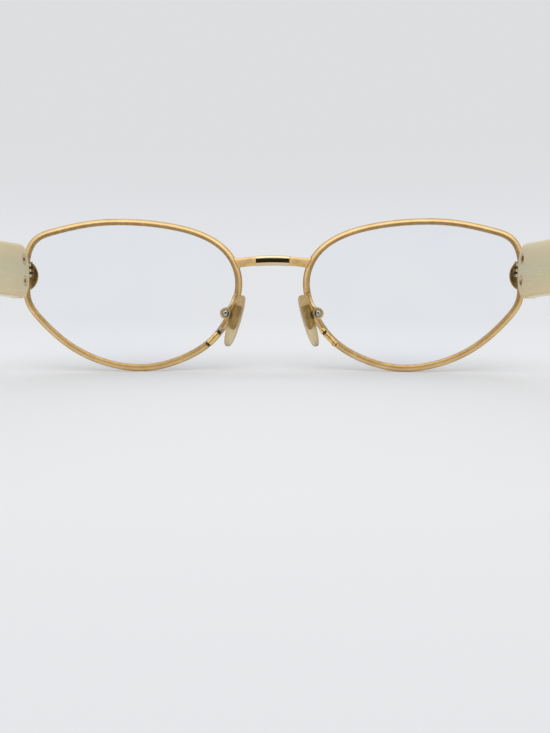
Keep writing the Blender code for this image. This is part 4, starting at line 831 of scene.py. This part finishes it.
def pad_axes():
    """Directions of a left pad: down its length, back across its width, and toward the nose."""
    down = np.array((math.sin(PAD_LEAN), 0.0, -math.cos(PAD_LEAN)))
    nose = np.array((-math.cos(PAD_SPLAY), math.sin(PAD_SPLAY), 0.0))
    nose = unit(nose - down * (nose @ down))
    back = np.cross(nose, down)
    return down, back * math.copysign(1.0, back[1]), nose


def pad_form(length, width, thickness, taper, fullness, rise=0.0, shift=0.0, stations=40, sides=40):
    """A flattened, rounded form: stations down its length, each a rounded section. The fullness is that
    of its upper and its lower end. The rise moves it up along the pad, and the shift toward the box."""
    down, back, nose = pad_axes()
    centre = PAD_CENTRE - down * rise - nose * shift
    rings = []
    for turn in np.linspace(0.0, math.pi, stations + 2)[1:-1]:
        along = -math.cos(turn)
        full = math.sin(turn) ** fullness[0 if along < 0.0 else 1] / 2.0
        wide = width * full * (1.0 - taper * (along + 1.0) / 2.0)
        middle = centre + down * along * length / 2.0
        rings.append(ring(middle, 1.0, back * wide, nose * thickness * full, sides))
    return loft(rings)


def make_pad(side):
    shape = pad_form(PAD_LENGTH, PAD_WIDTH, PAD_THICKNESS, PAD_TAPER, PAD_FULLNESS)
    side_piece(side, "nose_pad", shape, "pad", 60.0, "aged_pad", place=PAD_PIVOT, body=f"{side}_pad_body")


def make_pad_core(side):
    """The insert: a plate in the pad, its stem and the eye that turns on the screw. The eye, the stem and the
    plate's edge beside the box are painted dark as shade."""
    down, toward_back, nose = pad_axes()
    plate = pad_form(CORE_LENGTH, CORE_WIDTH, CORE_THICKNESS, CORE_TAPER, CORE_FULLNESS, CORE_RISE,
                     CORE_SHIFT, stations=24, sides=32)
    target = PAD_CENTRE - down * (PAD_CENTRE @ down) - nose * STEM_SINK
    turn_at = np.array((-BOX_RADIUS - STEM_TURN_GAP, 0.0, 0.0))
    tall, deep, bore = STEM_HEIGHT / 2.0, EYE_THICKNESS / 2.0, PAD_SCREW_RADIUS + RUNNING_CLEARANCE
    section = rounded(((-deep, -tall), (deep, -tall), (deep, tall), (-deep, tall)), 0.12 * MM, 3, closed=True)
    stem = loft([[place + np.array((0.0, y, z)) for y, z in section]
                 for place in (np.zeros(3), turn_at, target)])
    stem = joined(stem, turned(((0.0, -MM), (bore, -MM), (bore, MM), (0.0, MM)), sides=40), "DIFFERENCE")
    eye = turned(rounded(((bore, -deep), (EYE_RADIUS, -deep), (EYE_RADIUS, deep), (bore, deep)), 0.08 * MM, 3,
                         closed=True), sides=40)
    shape = joined(joined(plate, stem, "UNION"), eye, "UNION")
    # Painted shade round the box and along the plate's edge beside it
    low, high = CORE_SHADE_HEIGHTS
    darken(shape, lambda at, normal: math.hypot(at.x, at.z) < BOX_RADIUS + CORE_SHADE_ROUND_BOX
           or ((np.array(at) - PAD_CENTRE) @ toward_back > CORE_SHADE_BACK and low < at.z < high))
    side_piece(side, "pad_core", shape, "steel", 35.0, "core_metal", "shadow_metal", place=PAD_PIVOT,
               body=f"{side}_pad_body")


def make_pad_box(side):
    """The round box that holds the eye, and the slotted screw through both."""
    slot = EYE_THICKNESS / 2.0 + RUNNING_CLEARANCE
    front, back = -slot - BOX_FRONT_WALL, slot + BOX_BACK_WALL
    bore = PAD_SCREW_RADIUS + RUNNING_CLEARANCE
    head = PAD_SCREW_HEAD_RADIUS
    lip = head + BOX_LIP
    profile = rounded(((bore, front), (BOX_RADIUS, front), (BOX_RADIUS, back), (lip, back), (bore, back)),
                      0.1 * MM, closed=True)
    wide = BOX_RADIUS + MM
    gap = block((-wide, -slot, -wide), (EYE_RADIUS + RUNNING_CLEARANCE, slot, wide))
    shape = joined(turned(profile, sides=56), gap, "DIFFERENCE")
    # Painted shade: the box's back round the screw head takes the dark metal
    darken(shape, lambda at, normal: normal.y > 0.7 and at.y > slot and math.hypot(at.x, at.z) < lip)
    side_piece(side, "pad_box", shape, "satin_gold", 35.0, "pale_gold", "shadow_metal", place=PAD_PIVOT)

    seat = back + SOLDER_GAP
    top = seat + PAD_SCREW_HEAD_HEIGHT
    profile = [(0.0, front), (PAD_SCREW_RADIUS, front), (PAD_SCREW_RADIUS, seat), (head, seat)]
    profile += [(head * math.cos(a), top - PAD_SCREW_CROWN * (1.0 - math.sin(a)))
                for a in np.linspace(0.0, math.pi / 2.0, 8)]
    cut = block((-wide, top - PAD_SCREW_SLOT_DEPTH, -PAD_SCREW_SLOT_HALF_WIDTH),
                (wide, top + MM, PAD_SCREW_SLOT_HALF_WIDTH))
    bmesh.ops.rotate(cut, verts=cut.verts, cent=ORIGIN, matrix=Matrix.Rotation(PAD_SCREW_TURN[side], 3, "Y"))
    side_piece(side, "pad_screw", joined(turned(profile), cut, "DIFFERENCE"), "steel", 35.0, "pale_steel",
               place=PAD_PIVOT)


def make_pad_arm(side):
    """A wire from the back of the rim to the box, flared with solder at both ends."""
    index = RIM.index(ARM_FOOT_ANGLE)
    foot = RIM.world(RIM.offset(index, 0.0, WIRE_DEPTH / 2.0 + SOLDER_GAP))
    backward = RIM.direction(RIM.back[index])
    off_box = np.array((-math.sin(ARM_LANDING), 0.0, math.cos(ARM_LANDING)))
    middle = -EYE_THICKNESS / 2.0 - RUNNING_CLEARANCE - BOX_FRONT_WALL / 2.0
    seat = PAD_PIVOT + (0.0, middle, 0.0) + off_box * (BOX_RADIUS + SOLDER_GAP)
    near = seat + off_box * ARM_END
    a, b = foot - backward * ARM_FOOT_LAP, foot + backward * ARM_REACH
    c, d = near + off_box * ARM_DROP, near
    t = np.linspace(0.0, 1.0, 61)[:, None]
    s = 1.0 - t
    curve = a * s ** 3 + 3 * b * s ** 2 * t + 3 * c * s * t ** 2 + d * t ** 3
    path = np.vstack((curve, seat - off_box * ARM_BOX_LAP))
    run = np.linspace(0.0, 1.0, len(path))
    radii = ARM_RADIUS * (1.0 + 0.7 * np.exp(-run / 0.045) + 0.35 * np.exp(-(1.0 - run) / 0.04))
    rings = []
    for point, ahead, radius in zip(path, unit(np.gradient(path, axis=0)), radii):
        across = unit(np.cross(ahead, (1.0, 0.0, 0.0)))
        rings.append(ring(point, radius, across, np.cross(across, ahead), 24))
    side_piece(side, "pad_arm", loft(rings), "satin_gold", 50.0, "pale_gold")


# Corner discs

def make_disc(side):
    """A domed disc with a raised border and a hollowed back, painted dark as shade."""
    centre = (HINGE[0] + DISC_OUTWARD, packed_box("left_corner_disc")[1][1], HINGE[2] - DISC_BELOW)
    inside = DISC_RADIUS - DISC_BORDER
    tone_line = 0.45 * DISC_EDGE
    back = [(inside * s, DISC_HOLLOW) for s in (0.0, 0.33, 0.66, 1.0)] + [(inside, 0.0)]
    dome = [(inside * s, DISC_FLOOR + DISC_DOME * (1.0 - s ** 2)) for s in np.linspace(0.95, 0.0, 16)]
    border = [(inside, 0.0), (DISC_RADIUS, 0.0), (DISC_RADIUS, tone_line), (DISC_RADIUS, DISC_EDGE),
              (inside, DISC_EDGE), (inside, DISC_FLOOR), dome[0]]
    profile = back + rounded(border, 0.13 * MM)[1:-1] + dome
    # The back and the lower part of the border's side take the dark finish: painted shade
    dark = [number for number, ends in enumerate(zip(profile, profile[1:]))
            if max(end[1] for end in ends) < tone_line + 0.01 * MM]
    shape = turned(profile, centre, (0, -1, 0), sides=72, dark=dark)
    side_piece(side, "corner_disc", shape, "dark_gold", 30.0, "disc_gold", "dark_back")


# Temples

def temple_nose(height):
    """How far the front end is set back: a shallow arc, turned in more at both corners."""
    arc = TEMPLE_NOSE_RADIUS - math.sqrt(TEMPLE_NOSE_RADIUS ** 2 - (height + TEMPLE_NOSE_DROP) ** 2)
    corner = max(0.0, 1.0 - (TEMPLE_FRONT_HEIGHT / 2.0 - abs(height)) / TEMPLE_CORNER_REACH)
    return arc + TEMPLE_CORNER * corner ** 2


def temple_section(height, thickness, inset):
    """A rectangle with rounded corners as (across, up)."""
    radius = min(TEMPLE_EDGE_RADIUS, 0.48 * height, 0.48 * thickness)
    wide, tall = thickness / 2.0 - radius, height / 2.0 - radius
    quarter = np.linspace(math.pi / 2.0, 0.0, 9)
    half = [(wide + (radius - inset) * math.cos(a), tall + (radius - inset) * math.sin(a)) for a in quarter]
    half += [(wide + radius - inset, tall * share) for share in np.linspace(1.0, -1.0, 14)[1:-1]]
    half += [(x, -z) for x, z in half[8::-1]]
    return half + [(-x, z) for x, z in half[::-1]]


def temple_rows():
    """Sections along the temple: (run, middle height, slope, height, thickness, inset, nose share)."""
    edge, nose_end = TEMPLE_NOSE_ROUNDING, TEMPLE_END + TEMPLE_NOSE_LENGTH
    rows = [(TEMPLE_END + edge * (1.0 - math.cos(turn)), edge * (1.0 - math.sin(turn)), 1.0)
            for turn in np.linspace(0.0, math.pi / 2.0, 7)]
    rows += [(TEMPLE_END + edge + (TEMPLE_NOSE_LENGTH - edge) * s, 0.0, 1.0 - s)
             for s in np.linspace(0.0, 1.0, 9)[1:]]
    rows += [(run, 0.0, 0.0) for run in np.linspace(nose_end, TEMPLE_STRAIGHT, 24)[1:]]
    stations = []
    for run, inset, nose in rows:
        share = (run - TEMPLE_END) / (TEMPLE_STRAIGHT - TEMPLE_END)
        tall = TEMPLE_FRONT_HEIGHT + (TEMPLE_EAR_HEIGHT - TEMPLE_FRONT_HEIGHT) * share
        stations.append((run, TEMPLE_TOP - tall / 2.0, 0.0, tall, TEMPLE_THICKNESS, inset, nose))
    middle = TEMPLE_TOP - TEMPLE_EAR_HEIGHT / 2.0
    drop = EAR_RADIUS * (1.0 - math.cos(EAR_BEND))
    tail = (HINGE[2] + middle - drop - TIP_HEIGHT / 2.0) / math.sin(EAR_BEND)
    arc = EAR_RADIUS * EAR_BEND

    def tapered(run, height, turn, length):
        share = length / (arc + tail)
        tall = TEMPLE_EAR_HEIGHT + (TIP_HEIGHT - TEMPLE_EAR_HEIGHT) * share
        thick = TEMPLE_THICKNESS + (TIP_THICKNESS - TEMPLE_THICKNESS) * share
        stations.append((run, height, turn, tall, thick, 0.0, 0.0))

    def beyond(run, height, step):
        return run + step * math.cos(EAR_BEND), height - step * math.sin(EAR_BEND), EAR_BEND

    for turn in np.linspace(0.0, EAR_BEND, 19)[1:]:
        height = middle - EAR_RADIUS * (1.0 - math.cos(turn))
        tapered(TEMPLE_STRAIGHT + EAR_RADIUS * math.sin(turn), height, turn, turn * EAR_RADIUS)
    last = stations[-1][:2]
    for step in np.linspace(0.0, tail, 8)[1:]:
        tapered(*beyond(*last, step), arc + step)
    last = stations[-1][:2]
    for turn in np.linspace(0.0, math.radians(88.0), 16)[1:]:
        thick = TIP_THICKNESS * (TIP_EDGE + (1.0 - TIP_EDGE) * math.sqrt(math.cos(turn)))
        tip = beyond(*last, TIP_HEIGHT / 2.0 * math.sin(turn))
        stations.append((*tip, TIP_HEIGHT * math.cos(turn), thick, 0.0, 0.0))
    return stations


def make_temple(side):
    """The ivory temple with recesses for its rivets and a slot for the hinge leaf."""
    rings = []
    centre = TEMPLE_INNER + TEMPLE_THICKNESS / 2.0
    for run, middle, slope, tall, thick, inset, nose in temple_rows():
        points = []
        for across, up in temple_section(tall, thick, inset):
            back = run + up * math.sin(slope) + nose * (temple_nose(up) if nose else 0.0)
            points.append((centre + across, back, middle + up * math.cos(slope)))
        rings.append(points)
    shape = loft(rings, strips=True)
    bmesh.ops.triangulate(shape, faces=shape.faces)
    wide = RIVET_HEAD_RADIUS + RIVET_RECESS_GAP
    outer, floor = TEMPLE_INNER - MM, TEMPLE_INNER + RIVET_RECESS_DEPTH
    for height in (-RIVET_SPACING / 2.0, RIVET_SPACING / 2.0):
        recess = turned(((0.0, outer), (wide, outer), (wide, floor), (0.0, floor)), (0, RIVET_BACK, height),
                        (1, 0, 0), (0, 1, 0))
        shape = joined(shape, recess, "DIFFERENCE")
    leaf_low, leaf_high = packed_box("left_temple_hinge_leaf")
    slot = block((leaf_low[0] + MM - HINGE[0] - RUNNING_CLEARANCE, 0.0, -LEAF_SLOT_HALF_HEIGHT),
                 (leaf_high[0] - HINGE[0] + RUNNING_CLEARANCE, TEMPLE_END + LEAF_SLOT_LENGTH,
                  LEAF_SLOT_HALF_HEIGHT))
    side_piece(side, "temple", joined(shape, slot, "DIFFERENCE"), "ivory", 32.0, "ivory", place=HINGE,
               body=f"{side}_temple_body")


def make_rivet(side, label, height):
    """A flush head with a sunk, darkened middle, worn differently on every rivet."""
    top, floor = TEMPLE_INNER + RIVET_FACE, TEMPLE_INNER + RIVET_DEPTH
    head, sunk = RIVET_HEAD_RADIUS, RIVET_SUNK[f"{side}_{label}"]
    flat, crest = sunk + 0.08 * MM, head - 0.24 * MM
    profile = ((0.0, top + RIVET_HOLLOW), (sunk * 0.7, top + 0.9 * RIVET_HOLLOW),
               (sunk, top + 0.2 * RIVET_HOLLOW), (flat, top),
               (head - 0.36 * MM, top - 0.008 * MM), (crest, top - 0.012 * MM), (head - 0.1 * MM, top),
               (head, top + 0.08 * MM), (head, floor), (0.0, floor))
    shape = turned(profile, (0, RIVET_BACK, height), (1, 0, 0), (0, 1, 0), dark=(0, 1))
    if (side, label) == ("right", "lower"):
        darken(shape, lambda at, normal: at.x < top
               and flat < math.hypot(at.y - RIVET_BACK, at.z - height) < crest
               and at.z < height - 0.1 * MM and at.y < RIVET_BACK + 0.35 * MM)
    side_piece(side, f"rivet_{label}", shape, "satin_gold", 40.0, "rivet_tan", "dark_back", place=HINGE,
               body=f"{side}_temple_body")


# Hinges and endpieces

def knuckle(low, high, web_low, web_high):
    """A rounded barrel with its bore, and the web that joins it to its leaf."""
    bore = HINGE_SCREW_RADIUS + RUNNING_CLEARANCE
    section = rounded(((bore, low), (KNUCKLE_RADIUS, low), (KNUCKLE_RADIUS, high), (bore, high)), 0.12 * MM,
                      closed=True)
    web = bevelled(block((*web_low, low + 0.02 * MM), (*web_high, high - 0.02 * MM)), 0.06 * MM)
    return joined(turned(section, axis=(0, 0, 1)), web, "UNION")


def make_hinge(side):
    """Both leaves with their interleaved barrels, and the slotted screw through them."""
    half = (sum(KNUCKLE_HEIGHTS) + (len(KNUCKLE_HEIGHTS) - 1) * KNUCKLE_GAP) / 2.0
    inner = KNUCKLE_RADIUS + KNUCKLE_SWING_GAP
    leaf_low = TEMPLE_INNER + LEAF_INSET
    leaf_high = leaf_low + LEAF_THICKNESS
    front = bevelled(block((inner, -FRONT_PLATE_HALF_DEPTH, -half),
                           (inner + FRONT_PLATE_THICKNESS, FRONT_PLATE_HALF_DEPTH, half)), 0.15 * MM)
    tall, shoulder, end = LEAF_HEIGHT / 2.0, TEMPLE_END + LEAF_SHOULDER, TEMPLE_END + LEAF_LENGTH
    outline = ((inner, -half), (shoulder, -half), (shoulder, -tall), (end, -tall),
               (end, tall), (shoulder, tall), (shoulder, half), (inner, half))
    rear = bevelled(prism(outline, 0, leaf_low, leaf_high), 0.06 * MM)
    level = -half
    for number, height in enumerate(KNUCKLE_HEIGHTS):
        top = level + height
        if number % 2 == 0:
            barrel = knuckle(level, top, (WEB_START, FRONT_WEB[0]), (inner + WEB_LAP, FRONT_WEB[1]))
            front = joined(front, barrel, "UNION")
        else:
            barrel = knuckle(level, top, (leaf_low, WEB_START), (leaf_high, inner + WEB_LAP))
            rear = joined(rear, barrel, "UNION")
        level = top + KNUCKLE_GAP
    # Painted shade on the temple leaf's knuckles, and on the front leaf's knuckle ends and inward-facing
    # sides
    darken(rear, lambda at, normal: at.y < inner)
    darken(front, lambda at, normal: abs(normal.z) > 0.6 or (normal.x < -0.66 and at.x < 0.5 * MM))
    side_piece(side, "front_hinge_leaf", front, "satin_gold", 35.0, "pale_gold", "dark_back",
               label="front_leaf", place=HINGE)
    side_piece(side, "temple_hinge_leaf", rear, "satin_gold", 35.0, "satin_gold", "shadow_metal",
               label="temple_leaf", place=HINGE, body=f"{side}_temple_body")
    seat = half + SOLDER_GAP
    top = seat + HINGE_HEAD_HEIGHT
    profile = rounded(((0.0, -half), (HINGE_SCREW_RADIUS, -half), (HINGE_SCREW_RADIUS, seat),
                       (HINGE_HEAD_RADIUS, seat), (HINGE_HEAD_RADIUS, top), (0.0, top)), 0.14 * MM)
    cut = block((-MM, -HINGE_SLOT_HALF_WIDTH, top - HINGE_SLOT_DEPTH), (MM, HINGE_SLOT_HALF_WIDTH, top + MM))
    screw = joined(turned(profile, axis=(0, 0, 1), sides=40), cut, "DIFFERENCE")
    side_piece(side, "hinge_screw", screw, "steel", 35.0, "bronze_steel", place=HINGE)


def make_endpiece(side):
    """The angled block between rim, disc and hinge, with softened edges."""
    inner = HINGE_INSET + SOLDER_GAP
    plate_end = KNUCKLE_RADIUS + KNUCKLE_SWING_GAP + FRONT_PLATE_THICKNESS + SOLDER_GAP
    front = packed_box("left_endpiece")[0][1] - HINGE[1]
    ledge = -FRONT_PLATE_HALF_DEPTH - SOLDER_GAP
    rear = TEMPLE_END - STOP_GAP
    outline = ((inner, front), (ENDPIECE_OUTER, front), (ENDPIECE_OUTER, rear), (plate_end, rear),
               (plate_end, ledge), (inner, ledge))
    shape = bevelled(prism(outline, 2, -ENDPIECE_HEIGHT / 2.0, ENDPIECE_HEIGHT / 2.0), 0.3 * MM, 4)
    side_piece(side, "endpiece", shape, "satin_gold", 40.0, "satin_gold", place=HINGE)


def dress_temple_core(side):
    """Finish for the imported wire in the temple, which stays as it is."""
    finishes = frame["nodes"][f"{side}_temple_core"].data.materials
    finishes.clear()
    finishes.append(MATERIALS["pale_steel"])


# Studio

def world_light():
    """A pale dome, brighter overhead. Behind the floor, the camera and the lenses see an even grey
    instead. A ray that a surface scattered before it left through glass or a pad sees nothing."""
    world = bpy.data.worlds.new("studio")
    bpy.context.scene.world = world
    world.use_nodes = True
    world.node_tree.nodes.clear()
    n = Nodes(world, "Generated")
    height = n.axis("Z")
    grey = n.ramp(height, (0.0, BACKDROP), (0.07, (0.765, 0.780, 0.805)), (0.14, (0.735, 0.745, 0.765)),
                  (0.20, (0.723, 0.730, 0.745)))
    level = n.maths("ADD", n.maths("MULTIPLY", height, 0.62), 0.50)
    strength = n.maths("ADD", n.maths("MULTIPLY", n.axis("Y"), 0.20), level)
    dome = n.add("ShaderNodeBackground", {"Color": (0.985, 0.99, 1.0), "Strength": strength})
    path = n.add("ShaderNodeLightPath").outputs
    straight = n.maths("MAXIMUM", path["Is Camera Ray"], path["Is Transmission Ray"])
    again = n.maths("MULTIPLY", path["Is Transmission Ray"], n.maths("MINIMUM", path["Diffuse Depth"], 1.0))
    seen = n.choose(straight, dome, n.add("ShaderNodeBackground", {"Color": grey}))
    seen = n.choose(again, seen, n.add("ShaderNodeBackground", {"Strength": 0.0}))
    n.add("ShaderNodeOutputWorld", {"Surface": seen.outputs[0]})


def key_light():
    """A soft box high up behind the camera. Glass doesn't show it."""
    lamp = bpy.data.lights.new("key", "AREA")
    lamp.shape = "RECTANGLE"
    lamp.size, lamp.size_y = 0.5, 0.35
    lamp.energy = KEY_POWER
    key = bpy.data.objects.new("key", lamp)
    bpy.context.scene.collection.objects.link(key)
    key.location = KEY_PLACE
    key.rotation_euler = (KEY_TARGET - KEY_PLACE).to_track_quat("-Z", "Y").to_euler()
    key.visible_transmission = False


def sheet(name, size):
    """A flat square in the material of the same name."""
    shape = bmesh.new()
    bmesh.ops.create_grid(shape, x_segments=1, y_segments=1, size=size)
    made = new_object(name, shape)
    made.data.materials.append(MATERIALS[name])
    return made


def make_floor():
    """A pale table, painted darker toward the camera as shade. Where only the camera, metal and glass see it,
    it glows with the backdrop's colour: partly near the frame, which lightens its shadows, and fully far off.
    """
    n = material("table")
    # Painted shade: the table's colour darkens toward the camera
    shade = n.ramp(n.spread(n.axis("Y"), -0.05, 0.09, 0.0, 1.0), (0.0, (0.865, 0.875, 0.89)),
                   (0.65, (0.85, 0.86, 0.875)), (1.0, (0.78, 0.79, 0.805)))
    n.set(Base_Color=shade, Roughness=0.7, Specular_IOR_Level=0.0)
    radius = n.add("ShaderNodeVectorMath", {0: n.place}, operation="LENGTH").outputs["Value"]
    far = n.spread(radius, 0.09, 0.40, 0.22, 1.0, interpolation_type="SMOOTHSTEP")
    path = n.add("ShaderNodeLightPath").outputs
    seen = n.maths("MAXIMUM", path["Is Camera Ray"], path["Is Glossy Ray"])
    seen = n.maths("MAXIMUM", seen, path["Is Transmission Ray"])
    glow = n.add("ShaderNodeEmission", {"Color": BACKDROP})
    blend = n.choose(n.maths("MULTIPLY", seen, far), n.shader, glow)
    n.put(n.tree.nodes["Material Output"].inputs["Surface"], blend.outputs[0])
    table = sheet("table", 5.0)
    table.location = (0.0, 0.0, -0.05 * MM)


def make_flag():
    """A dark card behind the camera, which only shows in polished metal."""
    material("flag").set(Roughness=1.0, Base_Color=(0.035, 0.022, 0.008))
    flag = sheet("flag", 0.5)
    flag.scale = (0.12, 0.09, 1.0)
    flag.rotation_euler = (math.radians(90.0), 0.0, 0.0)
    flag.location = FLAG_PLACE
    for rays in ("camera", "diffuse", "transmission", "shadow"):
        setattr(flag, f"visible_{rays}", False)


def make_camera():
    data = bpy.data.cameras.new("photo_view")
    data.sensor_width = 36.0
    data.lens = CAMERA_LENS
    data.clip_start = 1.0 * MM
    camera = bpy.data.objects.new("photo_view", data)
    bpy.context.scene.collection.objects.link(camera)
    camera.location = CAMERA_PLACE
    camera.rotation_euler = (math.radians(90.0) + CAMERA_PITCH, 0.0, math.pi + CAMERA_YAW)
    bpy.context.scene.camera = camera


def main():
    make_camera()
    make_bridge()
    for side in SIDES:
        for make_part in (make_rim, make_lens, make_lock, make_pad_arm, make_pad_box, make_pad, make_pad_core,
                          make_disc, make_hinge, make_endpiece, make_temple, dress_temple_core):
            make_part(side)
        for label, height in (("upper", RIVET_SPACING / 2.0), ("lower", -RIVET_SPACING / 2.0)):
            make_rivet(side, label, height)
    make_floor()
    make_flag()
    world_light()
    key_light()
    bpy.context.scene.view_settings.view_transform = "Standard"


main()
